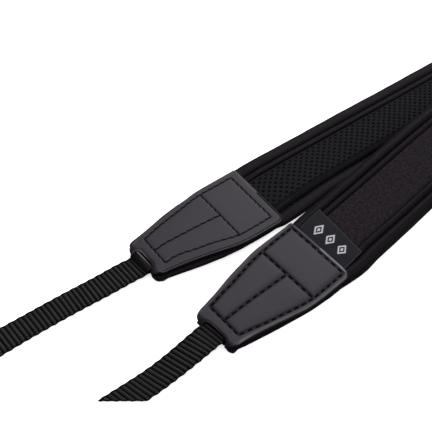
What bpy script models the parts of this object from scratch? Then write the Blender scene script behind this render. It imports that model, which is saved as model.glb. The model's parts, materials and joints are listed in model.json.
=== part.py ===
# A padded camera neck strap, folded in half and lying on a flat surface.
# The lower half lies with its mesh side up, and the upper half crosses it with its outer side up.
#
# Every piece is drawn in strap space and then carried to its place by a ribbon:
#   s  distance along the ribbon, v  across it towards +X, t  through it, positive on the mesh side.
# The padded strap's s starts at the tip of the left tab and ends at the tip of the right one.
# Frame: +Z up, +Y along the strap towards its fold, origin on the surface under the middle of the box.
# Named sizes are in millimetres and degrees.

import math

import bmesh
import bpy
from mathutils import Vector

MM = 0.001

# The padded strap's cross-section
STRAP_WIDTH = 33.4
STRAP_THICKNESS = 5.8
PANEL_HALF_WIDTH = 8.1      # the part of each panel that shows between the bindings
PANEL_EDGE = 13.4           # how far each panel reaches inside the binding
PANEL_EDGE_THICKNESS = 1.0  # what the binding squeezes it to there
PANEL_SHOULDER = 2.5        # height of the panel's shoulder beside the ridge
PANEL_CROWN_SHARE = 0.72    # the crown between the shoulders, as a share of their distance
SLIT = 0.2                  # half the gap between the two panels
RIDGE_START = 8.4
RIDGE_CREST = 9.8
GROOVE = 11.3               # the stitched groove between the ridge and the rolled edge
GROOVE_LEVEL = 2.0
ROLL_START = 12.5           # the rolled edge's section, from the groove outwards
ROLL_START_LEVEL = 2.65
ROLL_TOP = 14.2
ROLL_SHOULDER = 15.9
ROLL_SHOULDER_LEVEL = 2.05
HEM_HOLLOW = 13.8           # the bottom of the binding's hollow
HEM_HOLLOW_HALF_HEIGHT = 1.4

# The end tabs, measured as u from the tip of the nose
LEATHER = 1.0
TAB_FRONT_LENGTH = 54.3
TAB_BACK_LENGTH = 56.1
TAB_FRONT_LEVEL = 3.6       # outer face of the front sheet, from the strap's middle surface
NOSE_BACK_LEVEL = 2.3
WIDE_BACK_LEVEL = 3.4
NARROW_LINE = 7.3           # the stitch lines across the tab
CROSS_LINE = 37.3
WIDE_LINE = 52.7
NARROW_HALF_WIDTH = 7.2     # the outer stitch lines' distance from the middle at those lines
CROSS_HALF_WIDTH = 13.0
WIDE_HALF_WIDTH = 13.1
EMBOSS_HALF_WIDTH = 0.6     # a pressed groove runs along every stitch line of the front
EMBOSS_DEPTH = 0.35
FRONT_RIM_DROP = 0.4        # both sheets curve towards each other outside the stitches
BACK_RIM_DROP = 0.15
RIM_MIDDLE_SHARE = 0.35
RIM_WIDTH = 1.6             # between the groove and the edge, where the drop is whole
RIM_LEAST = 1.0             # what is kept of it at the rounded corners
TAB_CORNER = 2.2
TAB_CORNER_ROW = 0.7        # a row of the sheet this far inside its wide edge rounds the corners
TAB_MIDDLE = 20.0
SLOT_HALF_WIDTH = 5.6
SLOT_HALF_ANGLE = 60.0
NOSE_MARGIN = 0.6           # leather left beside the slot at the very tip
LEFT_NOSE_SET_BACK = 0.65   # how far the nose stands back from u = 0
RIGHT_NOSE_SET_BACK = 1.45
NOSE_LEAN = 0.07            # and how much more for each millimetre towards +X
NOSE_ROWS_END = 3.0         # the turn round the nose ends here
NOSE_STEP_ANGLE = 20.0
SLOT_MARGIN_ANGLE = 76.0    # one row of the sheet stands close behind the slot's rim

# Webbing, tongue and label
WEB_WIDTH = 10.3
WEB_THICKNESS = 1.4
WEB_SELVAGE = 0.5
WEB_POCKET = 0.35           # the bindings stay this far beside the webbing inside a tab
TONGUE_WIDTH = 10.2
TONGUE_THICKNESS = 1.0
TONGUE_LENGTH = 10.5
LEFT_TONGUE_START = -0.8    # its front edge, in the left slot's mouth
RIGHT_TONGUE_START = 1.2    # and just inside the right slot
TONGUE_FRONT_SHARE = 0.88   # its width there
TONGUE_TAPER = 0.7          # how soon it is at its full width
TONGUE_LEVEL = 0.3          # it lies on the webbing's mesh side
LABEL_HALF_WIDTH = 11.9
LABEL_MIDDLE = -0.5
LABEL_THICKNESS = 0.45
LABEL_CLEARANCE = 0.35      # between it and the pad
LABEL_TUCK = 53.5           # where it starts, under the tab's front sheet
LABEL_LEFT_END = 69.2
LABEL_RIGHT_END = 65.0

# The tab's outline from above
TAB_OUTLINE = (
    # u, half width
    (0.0, 6.2),
    (2.5, 8.2),
    (7.3, 9.6),
    (17.3, 11.7),
    (24.0, 13.0),
    (36.0, 14.9),
    (42.0, 15.4),
    (56.1, 15.7),
)

# How the pad's ends are trimmed and squeezed inside the tabs
PAD_END = (
    # u, half width at the left end, half width at the right end, front thickness, back thickness
    (3.6, 10.9, 8.9, 1.1, 0.7),
    (8.5, 11.9, 10.2, 1.2, 0.95),
    (12.0, 12.7, 11.0, 1.25, 1.0),
    (17.0, 14.0, 12.0, 1.25, 1.05),
    (24.0, 15.4, 13.3, 1.25, 1.1),
    (31.0, 16.4, 14.4, 1.3, 1.15),
    (38.0, 16.9, 15.2, 1.3, 1.2),
    (45.0, 17.0, 15.6, 1.3, 1.25),
    (50.0, 17.0, 15.7, 1.35, 1.3),
    (56.0, 17.0, 16.4, 1.5, 1.5),
    (59.0, 17.0, 16.8, 1.9, 2.0),
    (63.0, 16.95, 16.95, 2.4, 2.5),
    (70.0, 16.7, 16.7, 2.9, 2.9),
)
PANEL_START = 17.0          # the panels stop here inside a tab, clear of the webbing

# The strap's middle line; roll lifts the edge towards -X
STRAP_ROUTE = (
    # place, x, y, z, roll
    ("tip of the left tab", 2.13, -39.5, 3.6, 0.0),
    ("middle of the left tab", 3.94, -11.5, 3.6, 0.0),
    ("wide end of the left tab", 5.75, 16.5, 3.6, 0.0),
    ("pad coming out of the left tab", 6.2, 27.0, 3.6, 0.0),
    ("lower half down on the floor", 7.3, 57.0, 3.0, 0.0),
    ("lower half", 8.95, 88.0, 2.92, 0.0),
    ("lower half", 10.8, 121.0, 2.9, 0.0),
    ("lower half", 12.2, 150.0, 2.9, 0.0),
    ("lower half", 13.7, 200.0, 2.9, 0.0),
    ("lower half", 14.7, 238.0, 2.92, 0.0),
    ("lifting into the fold", 15.1, 251.0, 3.1, 0.0),
    ("fold", 15.4, 262.0, 4.9, 0.0),
    ("fold", 15.6, 270.0, 9.4, 0.0),
    ("end of the fold", 15.8, 273.6, 16.0, 0.0),
    ("fold", 16.1, 270.8, 22.8, 0.0),
    ("fold", 16.5, 263.0, 27.2, 0.0),
    ("top of the fold", 17.0, 253.0, 28.4, 0.0),
    ("fold", 17.7, 242.0, 26.2, 0.0),
    ("upper half coming down", 18.7, 230.0, 21.2, 0.0),
    ("upper half coming down", 20.0, 217.0, 14.9, 0.0),
    ("upper half coming down", 21.4, 205.0, 10.6, 0.0),
    ("upper half lying on the lower", 22.8, 193.0, 9.4, 0.5),
    ("upper half lying on the lower", 26.1, 170.0, 9.25, 6.5),
    ("upper half leaning off the lower", 30.5, 140.0, 8.15, 12.0),
    ("upper half leaning off the lower", 34.5, 108.0, 6.6, 13.6),
    ("upper half leaning off the lower", 36.2, 87.0, 6.25, 12.4),
    ("upper half leaning off the lower", 38.0, 66.0, 5.6, 10.2),
    ("upper half beside the lower", 39.4, 50.0, 4.98, 7.4),
    ("pad coming out of the right tab", 41.0, 30.0, 4.55, 4.6),
    ("wide end of the right tab", 42.45, 15.6, 4.5, 3.5),
    ("middle of the right tab", 42.9, -12.4, 3.75, 3.5),
    ("tip of the right tab", 43.34, -40.4, 3.0, 3.5),
)
BINDING_SINK = 0.5          # the pad's left end lies this much lower inside its tab
SINK_END = 60.0             # as u from the tip
SINK_FULL = 47.0

# The webbings' middle lines, from inside the tab to the cut end
LEFT_WEB_ROUTE = (
    # place, x, y, z, roll
    ("sewn in the tab", 3.1, -23.2, 2.4, 0.0),
    ("in the tab", 2.6, -31.5, 2.4, 0.0),
    ("in the slot", 2.1, -39.5, 2.4, 0.0),
    ("down to the floor", 1.15, -46.0, 2.1, 2.0),
    ("down to the floor", 0.15, -54.0, 1.5, 1.0),
    ("on the floor", -1.7, -68.0, 0.8, 0.0),
    ("on the floor", -2.85, -83.0, 0.7, 0.0),
    ("cut end", -3.6, -100.0, 1.0, 3.0),
)
RIGHT_WEB_ROUTE = (
    # place, x, y, z, roll
    ("sewn in the tab", 43.1, -24.2, 4.65, 3.5),
    ("in the tab", 43.1, -32.2, 4.4, 3.5),
    ("in the slot", 43.05, -40.4, 4.15, 3.5),
    ("down to the floor", 43.2, -44.0, 3.9, 2.5),
    ("down to the floor", 43.25, -49.0, 3.2, 0.0),
    ("turning onto one edge", 43.15, -54.0, 2.3, -3.0),
    ("turning onto one edge", 43.0, -59.0, 1.6, -5.0),
    ("one edge on the floor", 42.85, -64.0, 1.2, -5.0),
    ("one edge on the floor", 42.6, -69.0, 1.15, -5.0),
    ("cut end", 42.15, -76.0, 1.15, -5.0),
)
LEFT_WEB_SLANT = 0.8        # how far the cut end runs ahead for each millimetre towards +X
RIGHT_WEB_SLANT = -1.25

# Spacing of the cross-sections
FOLD_STEP = 5.0
LYING_STEP = 13.0
WEB_STEP = 5.0
ROUTE_SAMPLES = 24


def between(table, u):
    """The table's row at u, by straight lines between its rows."""
    if u <= table[0][0]:
        return table[0][1:]
    for low, high in zip(table, table[1:]):
        if u <= high[0]:
            share = (u - low[0]) / (high[0] - low[0])
            return tuple(a + (b - a) * share for a, b in zip(low[1:], high[1:]))
    return table[-1][1:]


class Ribbon:
    """A strip's middle line: a smooth curve through a route, and its own directions at each distance."""

    def __init__(self, route):
        knots = [(Vector(row[1:4]), row[4]) for row in route]
        first = (2 * knots[0][0] - knots[1][0], knots[0][1])
        last = (2 * knots[-1][0] - knots[-2][0], knots[-1][1])
        knots = [first] + knots + [last]
        self.places, self.rolls = [], []
        for before, start, end, after in zip(knots, knots[1:], knots[2:], knots[3:]):
            for step in range(ROUTE_SAMPLES):
                place, roll = self.curve(before, start, end, after, step / ROUTE_SAMPLES)
                self.places.append(place)
                self.rolls.append(roll)
        self.places.append(knots[-2][0])
        self.rolls.append(knots[-2][1])
        self.distances = [0.0]
        for a, b in zip(self.places, self.places[1:]):
            self.distances.append(self.distances[-1] + (b - a).length)
        self.length = self.distances[-1]

    @staticmethod
    def curve(before, start, end, after, share):
        """A Hermite step whose slopes at both knots suit uneven spacing."""
        span = (end[0] - start[0]).length
        lead = (start[0] - before[0]).length
        trail = (after[0] - end[0]).length
        out = []
        for a, b, c, d in zip(before, start, end, after):
            slope_in = ((b - a) / lead * span + (c - b) / span * lead) / (lead + span) * span
            slope_out = ((c - b) / span * trail + (d - c) / trail * span) / (span + trail) * span
            square, cube = share * share, share * share * share
            out.append(
                b * (2 * cube - 3 * square + 1)
                + slope_in * (cube - 2 * square + share)
                + c * (3 * square - 2 * cube)
                + slope_out * (cube - square)
            )
        return out

    def frame(self, s):
        """Middle, across direction and mesh-side direction at distance s."""
        s = min(max(s, 0.0), self.length)
        low, high = 0, len(self.distances) - 1
        while high - low > 1:
            middle = (low + high) // 2
            if self.distances[middle] <= s:
                low = middle
            else:
                high = middle
        share = (s - self.distances[low]) / (self.distances[high] - self.distances[low])
        place = self.places[low].lerp(self.places[high], share)
        roll = math.radians(self.rolls[low] + (self.rolls[high] - self.rolls[low]) * share)
        behind, ahead = max(low - 1, 0), min(high + 1, len(self.places) - 1)
        slow = (self.places[high] - self.places[behind]).normalized()
        fast = (self.places[ahead] - self.places[low]).normalized()
        along = slow.lerp(fast, share).normalized()
        across = (Vector((1, 0, 0)) - along * along.x).normalized()
        if roll:
            down = (along * along.z - Vector((0, 0, 1))).normalized()
            across = across * math.cos(roll) + down * math.sin(roll)
        return place, across, across.cross(along)

    def point(self, s, v, t):
        beyond = min(s, 0.0) + max(s - self.length, 0.0)
        place, across, inward = self.frame(s)
        return place + across * v + inward * t + inward.cross(across) * beyond


STRAP = Ribbon(STRAP_ROUTE)


def from_tip(s):
    """Distance u from the nearer tab's tip."""
    return min(s, STRAP.length - s)


def at_tip(side, u):
    """Distance along the strap of a place u from the tip of the left or right tab."""
    return u if side == "left" else STRAP.length - u


def at_nose(side, u, v):
    """The same for the nose, which stands back from the tip and runs askew."""
    set_back = LEFT_NOSE_SET_BACK if side == "left" else RIGHT_NOSE_SET_BACK
    return at_tip(side, u + (set_back + NOSE_LEAN * v) * max(0.0, 1.0 - u / NARROW_LINE))


def sink(s):
    """How far the pad's left end lies below the strap's middle surface inside its tab."""
    if s > SINK_END:
        return 0.0
    share = min(max((SINK_END - s) / (SINK_END - SINK_FULL), 0.0), 1.0)
    return BINDING_SINK * share * share * (3.0 - 2.0 * share)


def pad_point(s, v, t):
    """Carries a point of the strap's full cross-section to its place, trimmed and squeezed near the tabs."""
    left_half, right_half, front, back = between(PAD_END, from_tip(s))
    half_width = left_half if s < STRAP.length / 2 else right_half
    inner = max(RIDGE_START * half_width * 2 / STRAP_WIDTH, WEB_WIDTH / 2 + WEB_POCKET)
    if abs(v) < RIDGE_START:
        v_here = v * half_width * 2 / STRAP_WIDTH
    else:
        share = (abs(v) - RIDGE_START) / (STRAP_WIDTH / 2 - RIDGE_START)
        v_here = math.copysign(inner + share * (half_width - inner), v)
    t_here = t * (back if t > 0 else front) / (STRAP_THICKNESS / 2) - sink(s)
    return STRAP.point(s, v_here, t_here)


def strap_stations(first_u):
    """Where the pad's cross-sections stand, close together in the tabs and in the fold."""
    ends = [row[0] for row in PAD_END if row[0] >= first_u]
    fold_start, fold_end = fold_span()
    spans = ((ends[-1], fold_start, LYING_STEP), (fold_start, fold_end, FOLD_STEP),
             (fold_end, STRAP.length - ends[-1], LYING_STEP))
    stations = list(ends)
    for start, end, step in spans:
        count = math.ceil((end - start) / step)
        stations += [start + (end - start) * (i + 1) / count for i in range(count)]
    return stations[:-1] + [STRAP.length - u for u in reversed(ends)]


def fold_span():
    """The stretch of the strap that stands clear of both halves."""
    names = [row[0] for row in STRAP_ROUTE]
    first = names.index("lifting into the fold") * ROUTE_SAMPLES
    last = names.index("upper half lying on the lower") * ROUTE_SAMPLES
    return STRAP.distances[first], STRAP.distances[last]


def material(name, colour, roughness):
    made = bpy.data.materials.new(name)
    made.use_nodes = True
    shader = made.node_tree.nodes["Principled BSDF"]
    shader.inputs["Base Color"].default_value = (*colour, 1.0)
    shader.inputs["Roughness"].default_value = roughness
    shader.inputs["Metallic"].default_value = 0.0
    made.diffuse_color = (*colour, 1.0)
    return made


def add_object(name, mesh, finish, smooth_angle=40.0):
    mesh.materials.append(finish)
    mesh.shade_smooth()
    mesh.set_sharp_from_angle(angle=math.radians(smooth_angle))
    made = bpy.data.objects.new(name, mesh)
    bpy.context.scene.collection.objects.link(made)
    return made


def loft(name, rings, finish):
    """One closed solid through rings of equal point counts, with flat ends."""
    shape = bmesh.new()
    loops = [[shape.verts.new(point * MM) for point in ring] for ring in rings]
    for ring, following in zip(loops, loops[1:]):
        for i, corner in enumerate(ring):
            j = (i + 1) % len(ring)
            shape.faces.new((corner, ring[j], following[j], following[i]))
    shape.faces.new(list(reversed(loops[0])))
    shape.faces.new(loops[-1])
    bmesh.ops.recalc_face_normals(shape, faces=shape.faces)
    mesh = bpy.data.meshes.new(name)
    shape.to_mesh(mesh)
    shape.free()
    return add_object(name, mesh, finish)


def mirrored(points):
    """Adds the reflection across t = 0 of an outline's points, in reverse order."""
    return points + [(v, -t) for v, t in reversed(points) if t]


def panel(name, side, finish):
    """Half of the padding with its fabric: thick between the bindings, squeezed flat inside them."""
    top = STRAP_THICKNESS / 2
    outline = [
        (-PANEL_EDGE, SLIT),
        (PANEL_EDGE, SLIT),
        (PANEL_EDGE, PANEL_EDGE_THICKNESS),
        (PANEL_HALF_WIDTH, PANEL_EDGE_THICKNESS),
        (PANEL_HALF_WIDTH, PANEL_SHOULDER),
        (PANEL_HALF_WIDTH * PANEL_CROWN_SHARE, top),
        (-PANEL_HALF_WIDTH * PANEL_CROWN_SHARE, top),
        (-PANEL_HALF_WIDTH, PANEL_SHOULDER),
        (-PANEL_HALF_WIDTH, PANEL_EDGE_THICKNESS),
        (-PANEL_EDGE, PANEL_EDGE_THICKNESS),
    ]
    rings = [[pad_point(s, v, side * t) for v, t in outline] for s in strap_stations(PANEL_START)]
    return loft(name, rings, finish)


def binding(name, side, finish):
    """The strip rolled round one edge: rolled edge, stitched groove and ridge on both faces."""
    top = STRAP_THICKNESS / 2
    edge = STRAP_WIDTH / 2
    outer = mirrored([
        (RIDGE_START, HEM_HOLLOW_HALF_HEIGHT),
        (RIDGE_START, PANEL_SHOULDER),
        (RIDGE_CREST, top),
        (GROOVE, GROOVE_LEVEL),
        (ROLL_START, ROLL_START_LEVEL),
        (ROLL_TOP, top),
        (ROLL_SHOULDER, ROLL_SHOULDER_LEVEL),
        (edge, 0.0),
    ])
    outline = outer + [(HEM_HOLLOW, -HEM_HOLLOW_HALF_HEIGHT), (HEM_HOLLOW, HEM_HOLLOW_HALF_HEIGHT)]
    rings = [[pad_point(s, side * v, t) for v, t in outline] for s in strap_stations(PAD_END[0][0])]
    return loft(name, rings, finish)


def tab_rows():
    """Rows of the leather sheet from the back's wide edge round the nose to the front's wide edge.

    Each row is (u, t, pressed), where pressed says which front grooves cross it.
    """
    radius = (TAB_FRONT_LEVEL + NOSE_BACK_LEVEL) / 2
    middle = NOSE_BACK_LEVEL - radius
    rows = []
    for u in (TAB_BACK_LENGTH, TAB_BACK_LENGTH - TAB_CORNER_ROW, TAB_BACK_LENGTH - TAB_CORNER,
              CROSS_LINE, TAB_MIDDLE, NARROW_LINE):
        share = (u - radius) / (TAB_BACK_LENGTH - radius)
        rows.append((u, NOSE_BACK_LEVEL + (WIDE_BACK_LEVEL - NOSE_BACK_LEVEL) * share, "plain"))
    for angle in (90.0, SLOT_MARGIN_ANGLE, SLOT_HALF_ANGLE, NOSE_STEP_ANGLE,
                  -NOSE_STEP_ANGLE, -SLOT_HALF_ANGLE, -SLOT_MARGIN_ANGLE, -90.0):
        turn = math.radians(angle)
        rows.append((radius - radius * math.cos(turn), middle + radius * math.sin(turn),
                     "slot" if abs(angle) <= SLOT_HALF_ANGLE else "plain"))
    for line in (NARROW_LINE, CROSS_LINE, WIDE_LINE):
        for offset, pressed in ((-EMBOSS_HALF_WIDTH, "plain"), (0.0, "across"), (EMBOSS_HALF_WIDTH, "plain")):
            rows.append((line + offset, -TAB_FRONT_LEVEL, pressed))
    rows.append((TAB_FRONT_LENGTH, -TAB_FRONT_LEVEL, "plain"))
    return rows


def stitch_line(u):
    """The outer stitch line's distance from the middle, and half the width of the groove along it."""
    beside_slot = NOSE_MARGIN / 4
    table = (
        # u, distance from the middle, half the groove's width
        (0.0, SLOT_HALF_WIDTH + beside_slot, beside_slot),
        (NOSE_ROWS_END, SLOT_HALF_WIDTH + beside_slot, beside_slot),
        (NARROW_LINE - EMBOSS_HALF_WIDTH, NARROW_HALF_WIDTH - 0.1, EMBOSS_HALF_WIDTH),
        (NARROW_LINE, NARROW_HALF_WIDTH, EMBOSS_HALF_WIDTH),
        (CROSS_LINE, CROSS_HALF_WIDTH, EMBOSS_HALF_WIDTH),
        (WIDE_LINE, WIDE_HALF_WIDTH, EMBOSS_HALF_WIDTH),
    )
    return between(table, u)


def tab_half_width(u, length):
    """Half the sheet's width, with its wide end's corners rounded."""
    half = between(TAB_OUTLINE, u)[0]
    into_corner = u - (length - TAB_CORNER)
    if into_corner > 0:
        half -= TAB_CORNER - math.sqrt(max(TAB_CORNER ** 2 - into_corner ** 2, 0.0))
    return half


def end_tab(name, side, finish):
    """One sheet folded round the nose and slotted there, its front pressed along the stitches."""
    rows = tab_rows()
    front_start = [t == -TAB_FRONT_LEVEL and u > NARROW_LINE - 1 for u, t, pressed in rows].index(True)
    shape = bmesh.new()
    grid = []
    for i, (u, t, pressed) in enumerate(rows):
        on_front = i >= front_start
        half = tab_half_width(u, TAB_FRONT_LENGTH if on_front else TAB_BACK_LENGTH)
        stitch, groove = stitch_line(u)
        if u > NOSE_ROWS_END:
            stitch = min(stitch, half - groove - RIM_LEAST)
        rim = half - stitch - groove
        places = (0.0, EMBOSS_HALF_WIDTH, stitch - groove, stitch, stitch + groove, half - rim / 2, half)
        rim_drop = (FRONT_RIM_DROP if on_front else BACK_RIM_DROP) * min(1.0, rim / RIM_WIDTH)
        drops = (0.0, 0.0, 0.0, 0.0, 0.0, rim_drop * RIM_MIDDLE_SHARE, rim_drop)
        inside = NARROW_LINE <= u <= WIDE_LINE
        line = []
        for column in range(-6, 7):
            v = math.copysign(places[abs(column)], column)
            deep = on_front and inside and (
                abs(column) == 3
                or (pressed == "across" and abs(column) < 3)
                or (column == 0 and u <= CROSS_LINE + 0.01)
            )
            level = t + EMBOSS_DEPTH if deep else t
            if u > NOSE_ROWS_END:
                level -= math.copysign(drops[abs(column)], t)
            line.append(shape.verts.new(STRAP.point(at_nose(side, u, v), v, level) * MM))
        grid.append(line)
    for i, (line, following) in enumerate(zip(grid, grid[1:])):
        in_slot = rows[i][2] == "slot" and rows[i + 1][2] == "slot"
        for j in range(len(line) - 1):
            if in_slot and 4 <= j <= 7:
                continue
            shape.faces.new((line[j], line[j + 1], following[j + 1], following[j]))
    bmesh.ops.recalc_face_normals(shape, faces=shape.faces)
    middle = STRAP.point(at_tip(side, TAB_MIDDLE), 0, 0) * MM
    outward = sum(face.normal.dot(face.calc_center_median() - middle) for face in shape.faces)
    if outward < 0:
        bmesh.ops.reverse_faces(shape, faces=shape.faces)
    mesh = bpy.data.meshes.new(name)
    shape.to_mesh(mesh)
    shape.free()
    made = add_object(name, mesh, finish, 30.0)
    wall = made.modifiers.new("sheet thickness", "SOLIDIFY")
    wall.thickness = LEATHER * MM
    wall.offset = -1.0
    wall.use_even_offset = True
    return made


def flat_outline(half_width, half_height, selvage):
    """A flat strip's cross-section with pointed-round edges."""
    flat = half_width - selvage
    return [(half_width, 0.0), (flat, half_height), (-flat, half_height),
            (-half_width, 0.0), (-flat, -half_height), (flat, -half_height)]


def webbing(name, route, slant, finish):
    """Flat webbing from inside a tab to its slanting heat-cut end."""
    ribbon = Ribbon(route)
    outline = flat_outline(WEB_WIDTH / 2, WEB_THICKNESS / 2, WEB_SELVAGE)
    count = round(ribbon.length / WEB_STEP)
    rings = []
    for i in range(count + 1):
        s = ribbon.length * i / count
        lead = slant * max(0.0, 1.0 - (ribbon.length - s) / WEB_WIDTH)
        rings.append([ribbon.point(s + lead * v, v, t) for v, t in outline])
    return loft(name, rings, finish)


def tongue(name, side, finish):
    """The dark tongue that lies in the slot beside the webbing."""
    outline = flat_outline(TONGUE_WIDTH / 2, TONGUE_THICKNESS / 2, TONGUE_THICKNESS / 2)
    start = LEFT_TONGUE_START if side == "left" else RIGHT_TONGUE_START
    rings = []
    for u, squeeze in ((start, TONGUE_FRONT_SHARE), (start + TONGUE_TAPER, 1.0),
                       (TONGUE_LENGTH / 2, 1.0), (TONGUE_LENGTH, 1.0)):
        rings.append([STRAP.point(at_nose(side, u, v), v * squeeze, TONGUE_LEVEL + t) for v, t in outline])
    return loft(name, rings, finish)


def label(name, finish):
    """The woven label on the upper half's outer side, following the pad below it."""
    steps_along, steps_across = 6, 8
    rings = []
    for i in range(steps_along + 1):
        upper, lower = [], []
        for j in range(steps_across + 1):
            share = j / steps_across
            v = LABEL_MIDDLE + LABEL_HALF_WIDTH * (2 * share - 1)
            end = LABEL_LEFT_END + (LABEL_RIGHT_END - LABEL_LEFT_END) * share
            u = LABEL_TUCK + (end - LABEL_TUCK) * i / steps_along
            level = -(between(PAD_END, u)[2] + LABEL_CLEARANCE + LABEL_THICKNESS / 2)
            s = at_tip("right", u)
            upper.append(STRAP.point(s, v, level - LABEL_THICKNESS / 2))
            lower.append(STRAP.point(s, v, level + LABEL_THICKNESS / 2))
        rings.append(upper + list(reversed(lower)))
    return loft(name, rings, finish)


def set_on_origin(objects):
    """Moves every mesh so that the origin is on the floor under the middle of the whole strap's box."""
    corners = [vertex.co for made in objects for vertex in made.data.vertices]
    low = Vector([min(corner[axis] for corner in corners) for axis in range(3)])
    high = Vector([max(corner[axis] for corner in corners) for axis in range(3)])
    shift = Vector((-(low.x + high.x) / 2, -(low.y + high.y) / 2, -low.z))
    for mesh in {made.data for made in objects}:
        for vertex in mesh.vertices:
            vertex.co += shift
    print("strap length %.1f mm, box %.1f x %.1f x %.1f mm, shift %.2f %.2f %.2f mm" % (
        STRAP.length, *((high - low) / MM), *(shift / MM)))


def build():
    for old in list(bpy.data.objects):
        bpy.data.objects.remove(old, do_unlink=True)

    outer_cloth = material("matte outer fabric", (0.018, 0.017, 0.019), 0.92)
    mesh_cloth = material("spacer mesh", (0.02, 0.02, 0.022), 0.85)
    rolled_cloth = material("rolled binding", (0.016, 0.014, 0.017), 0.8)
    leather = material("charcoal leatherette", (0.055, 0.053, 0.058), 0.5)
    woven_web = material("black webbing", (0.014, 0.014, 0.014), 0.75)
    glossy = material("glossy black", (0.01, 0.01, 0.01), 0.3)
    woven_label = material("woven label", (0.022, 0.022, 0.03), 0.7)

    objects = [
        panel("outer_fabric", -1, outer_cloth),
        panel("mesh_lining", 1, mesh_cloth),
        binding("edge_binding_left", -1, rolled_cloth),
        binding("edge_binding_right", 1, rolled_cloth),
        end_tab("end_tab_left", "left", leather),
        end_tab("end_tab_right", "right", leather),
        tongue("slot_tongue_left", "left", glossy),
        tongue("slot_tongue_right", "right", glossy),
        webbing("webbing_left", LEFT_WEB_ROUTE, LEFT_WEB_SLANT, woven_web),
        webbing("webbing_right", RIGHT_WEB_ROUTE, RIGHT_WEB_SLANT, woven_web),
        label("side_label", woven_label),
    ]
    set_on_origin(objects)


build()
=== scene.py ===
import json
import math

import bmesh
import bpy
import numpy as np
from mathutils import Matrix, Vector

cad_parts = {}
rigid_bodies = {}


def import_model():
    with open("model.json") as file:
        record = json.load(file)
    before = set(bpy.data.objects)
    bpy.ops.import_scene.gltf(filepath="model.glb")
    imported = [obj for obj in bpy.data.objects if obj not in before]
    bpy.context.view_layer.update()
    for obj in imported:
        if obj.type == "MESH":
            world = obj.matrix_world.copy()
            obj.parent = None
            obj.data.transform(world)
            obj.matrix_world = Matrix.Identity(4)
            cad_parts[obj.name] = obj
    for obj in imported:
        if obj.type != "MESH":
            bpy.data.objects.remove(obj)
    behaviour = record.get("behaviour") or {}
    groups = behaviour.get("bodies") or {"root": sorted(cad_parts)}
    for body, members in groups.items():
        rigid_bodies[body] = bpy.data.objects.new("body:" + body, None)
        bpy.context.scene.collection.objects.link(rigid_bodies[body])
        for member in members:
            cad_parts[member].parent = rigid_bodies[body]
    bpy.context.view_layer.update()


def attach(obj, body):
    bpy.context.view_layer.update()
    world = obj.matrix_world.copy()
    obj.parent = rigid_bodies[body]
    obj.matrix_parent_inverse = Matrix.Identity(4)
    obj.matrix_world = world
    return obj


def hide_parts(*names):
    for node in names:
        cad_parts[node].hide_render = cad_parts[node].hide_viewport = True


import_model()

mm = 0.001

# Everything is drawn in strap space, in millimetres, and then carried to its place:
# s runs along a ribbon, v across it towards +X, t through it, positive on the mesh side
layoutShift = np.array((-23.33, -86.03, 0.04))   # from the routes' own frame to the CAD's

strapRoute = [
    # x, y, z, roll
    (2.13, -39.5, 3.6, 0.0),      # tip of the left tab
    (3.94, -11.5, 3.6, 0.0),
    (5.75, 16.5, 3.6, 0.0),
    (6.2, 27.0, 3.6, 0.0),        # pad comes out of the left tab
    (7.3, 57.0, 3.0, 0.0),
    (8.95, 88.0, 2.92, 0.0),
    (10.8, 121.0, 2.9, 0.0),
    (12.2, 150.0, 2.9, 0.0),
    (13.7, 200.0, 2.9, 0.0),
    (14.7, 238.0, 2.92, 0.0),
    (15.1, 251.0, 3.1, 0.0),      # lifts into the fold
    (15.4, 262.0, 4.9, 0.0),
    (15.6, 270.0, 9.4, 0.0),
    (15.8, 273.6, 16.0, 0.0),     # end of the fold
    (16.1, 270.8, 22.8, 0.0),
    (16.5, 263.0, 27.2, 0.0),
    (17.0, 253.0, 28.4, 0.0),
    (17.7, 242.0, 26.2, 0.0),
    (18.7, 230.0, 21.2, 0.0),
    (20.0, 217.0, 14.9, 0.0),
    (21.4, 205.0, 10.6, 0.0),
    (22.8, 193.0, 9.4, 0.5),      # upper half lies on the lower
    (26.1, 170.0, 9.25, 6.5),
    (30.5, 140.0, 8.15, 12.0),
    (34.5, 108.0, 6.6, 13.6),
    (36.2, 87.0, 6.25, 12.4),
    (38.0, 66.0, 5.6, 10.2),
    (39.4, 50.0, 4.98, 7.4),
    (41.0, 30.0, 4.55, 4.6),      # pad comes out of the right tab
    (42.45, 15.6, 4.5, 3.5),
    (42.9, -12.4, 3.75, 3.5),
    (43.34, -40.4, 3.0, 3.5),     # tip of the right tab
]


def unit(vectors):
    return vectors / np.linalg.norm(vectors, axis=-1)[..., None]


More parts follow.
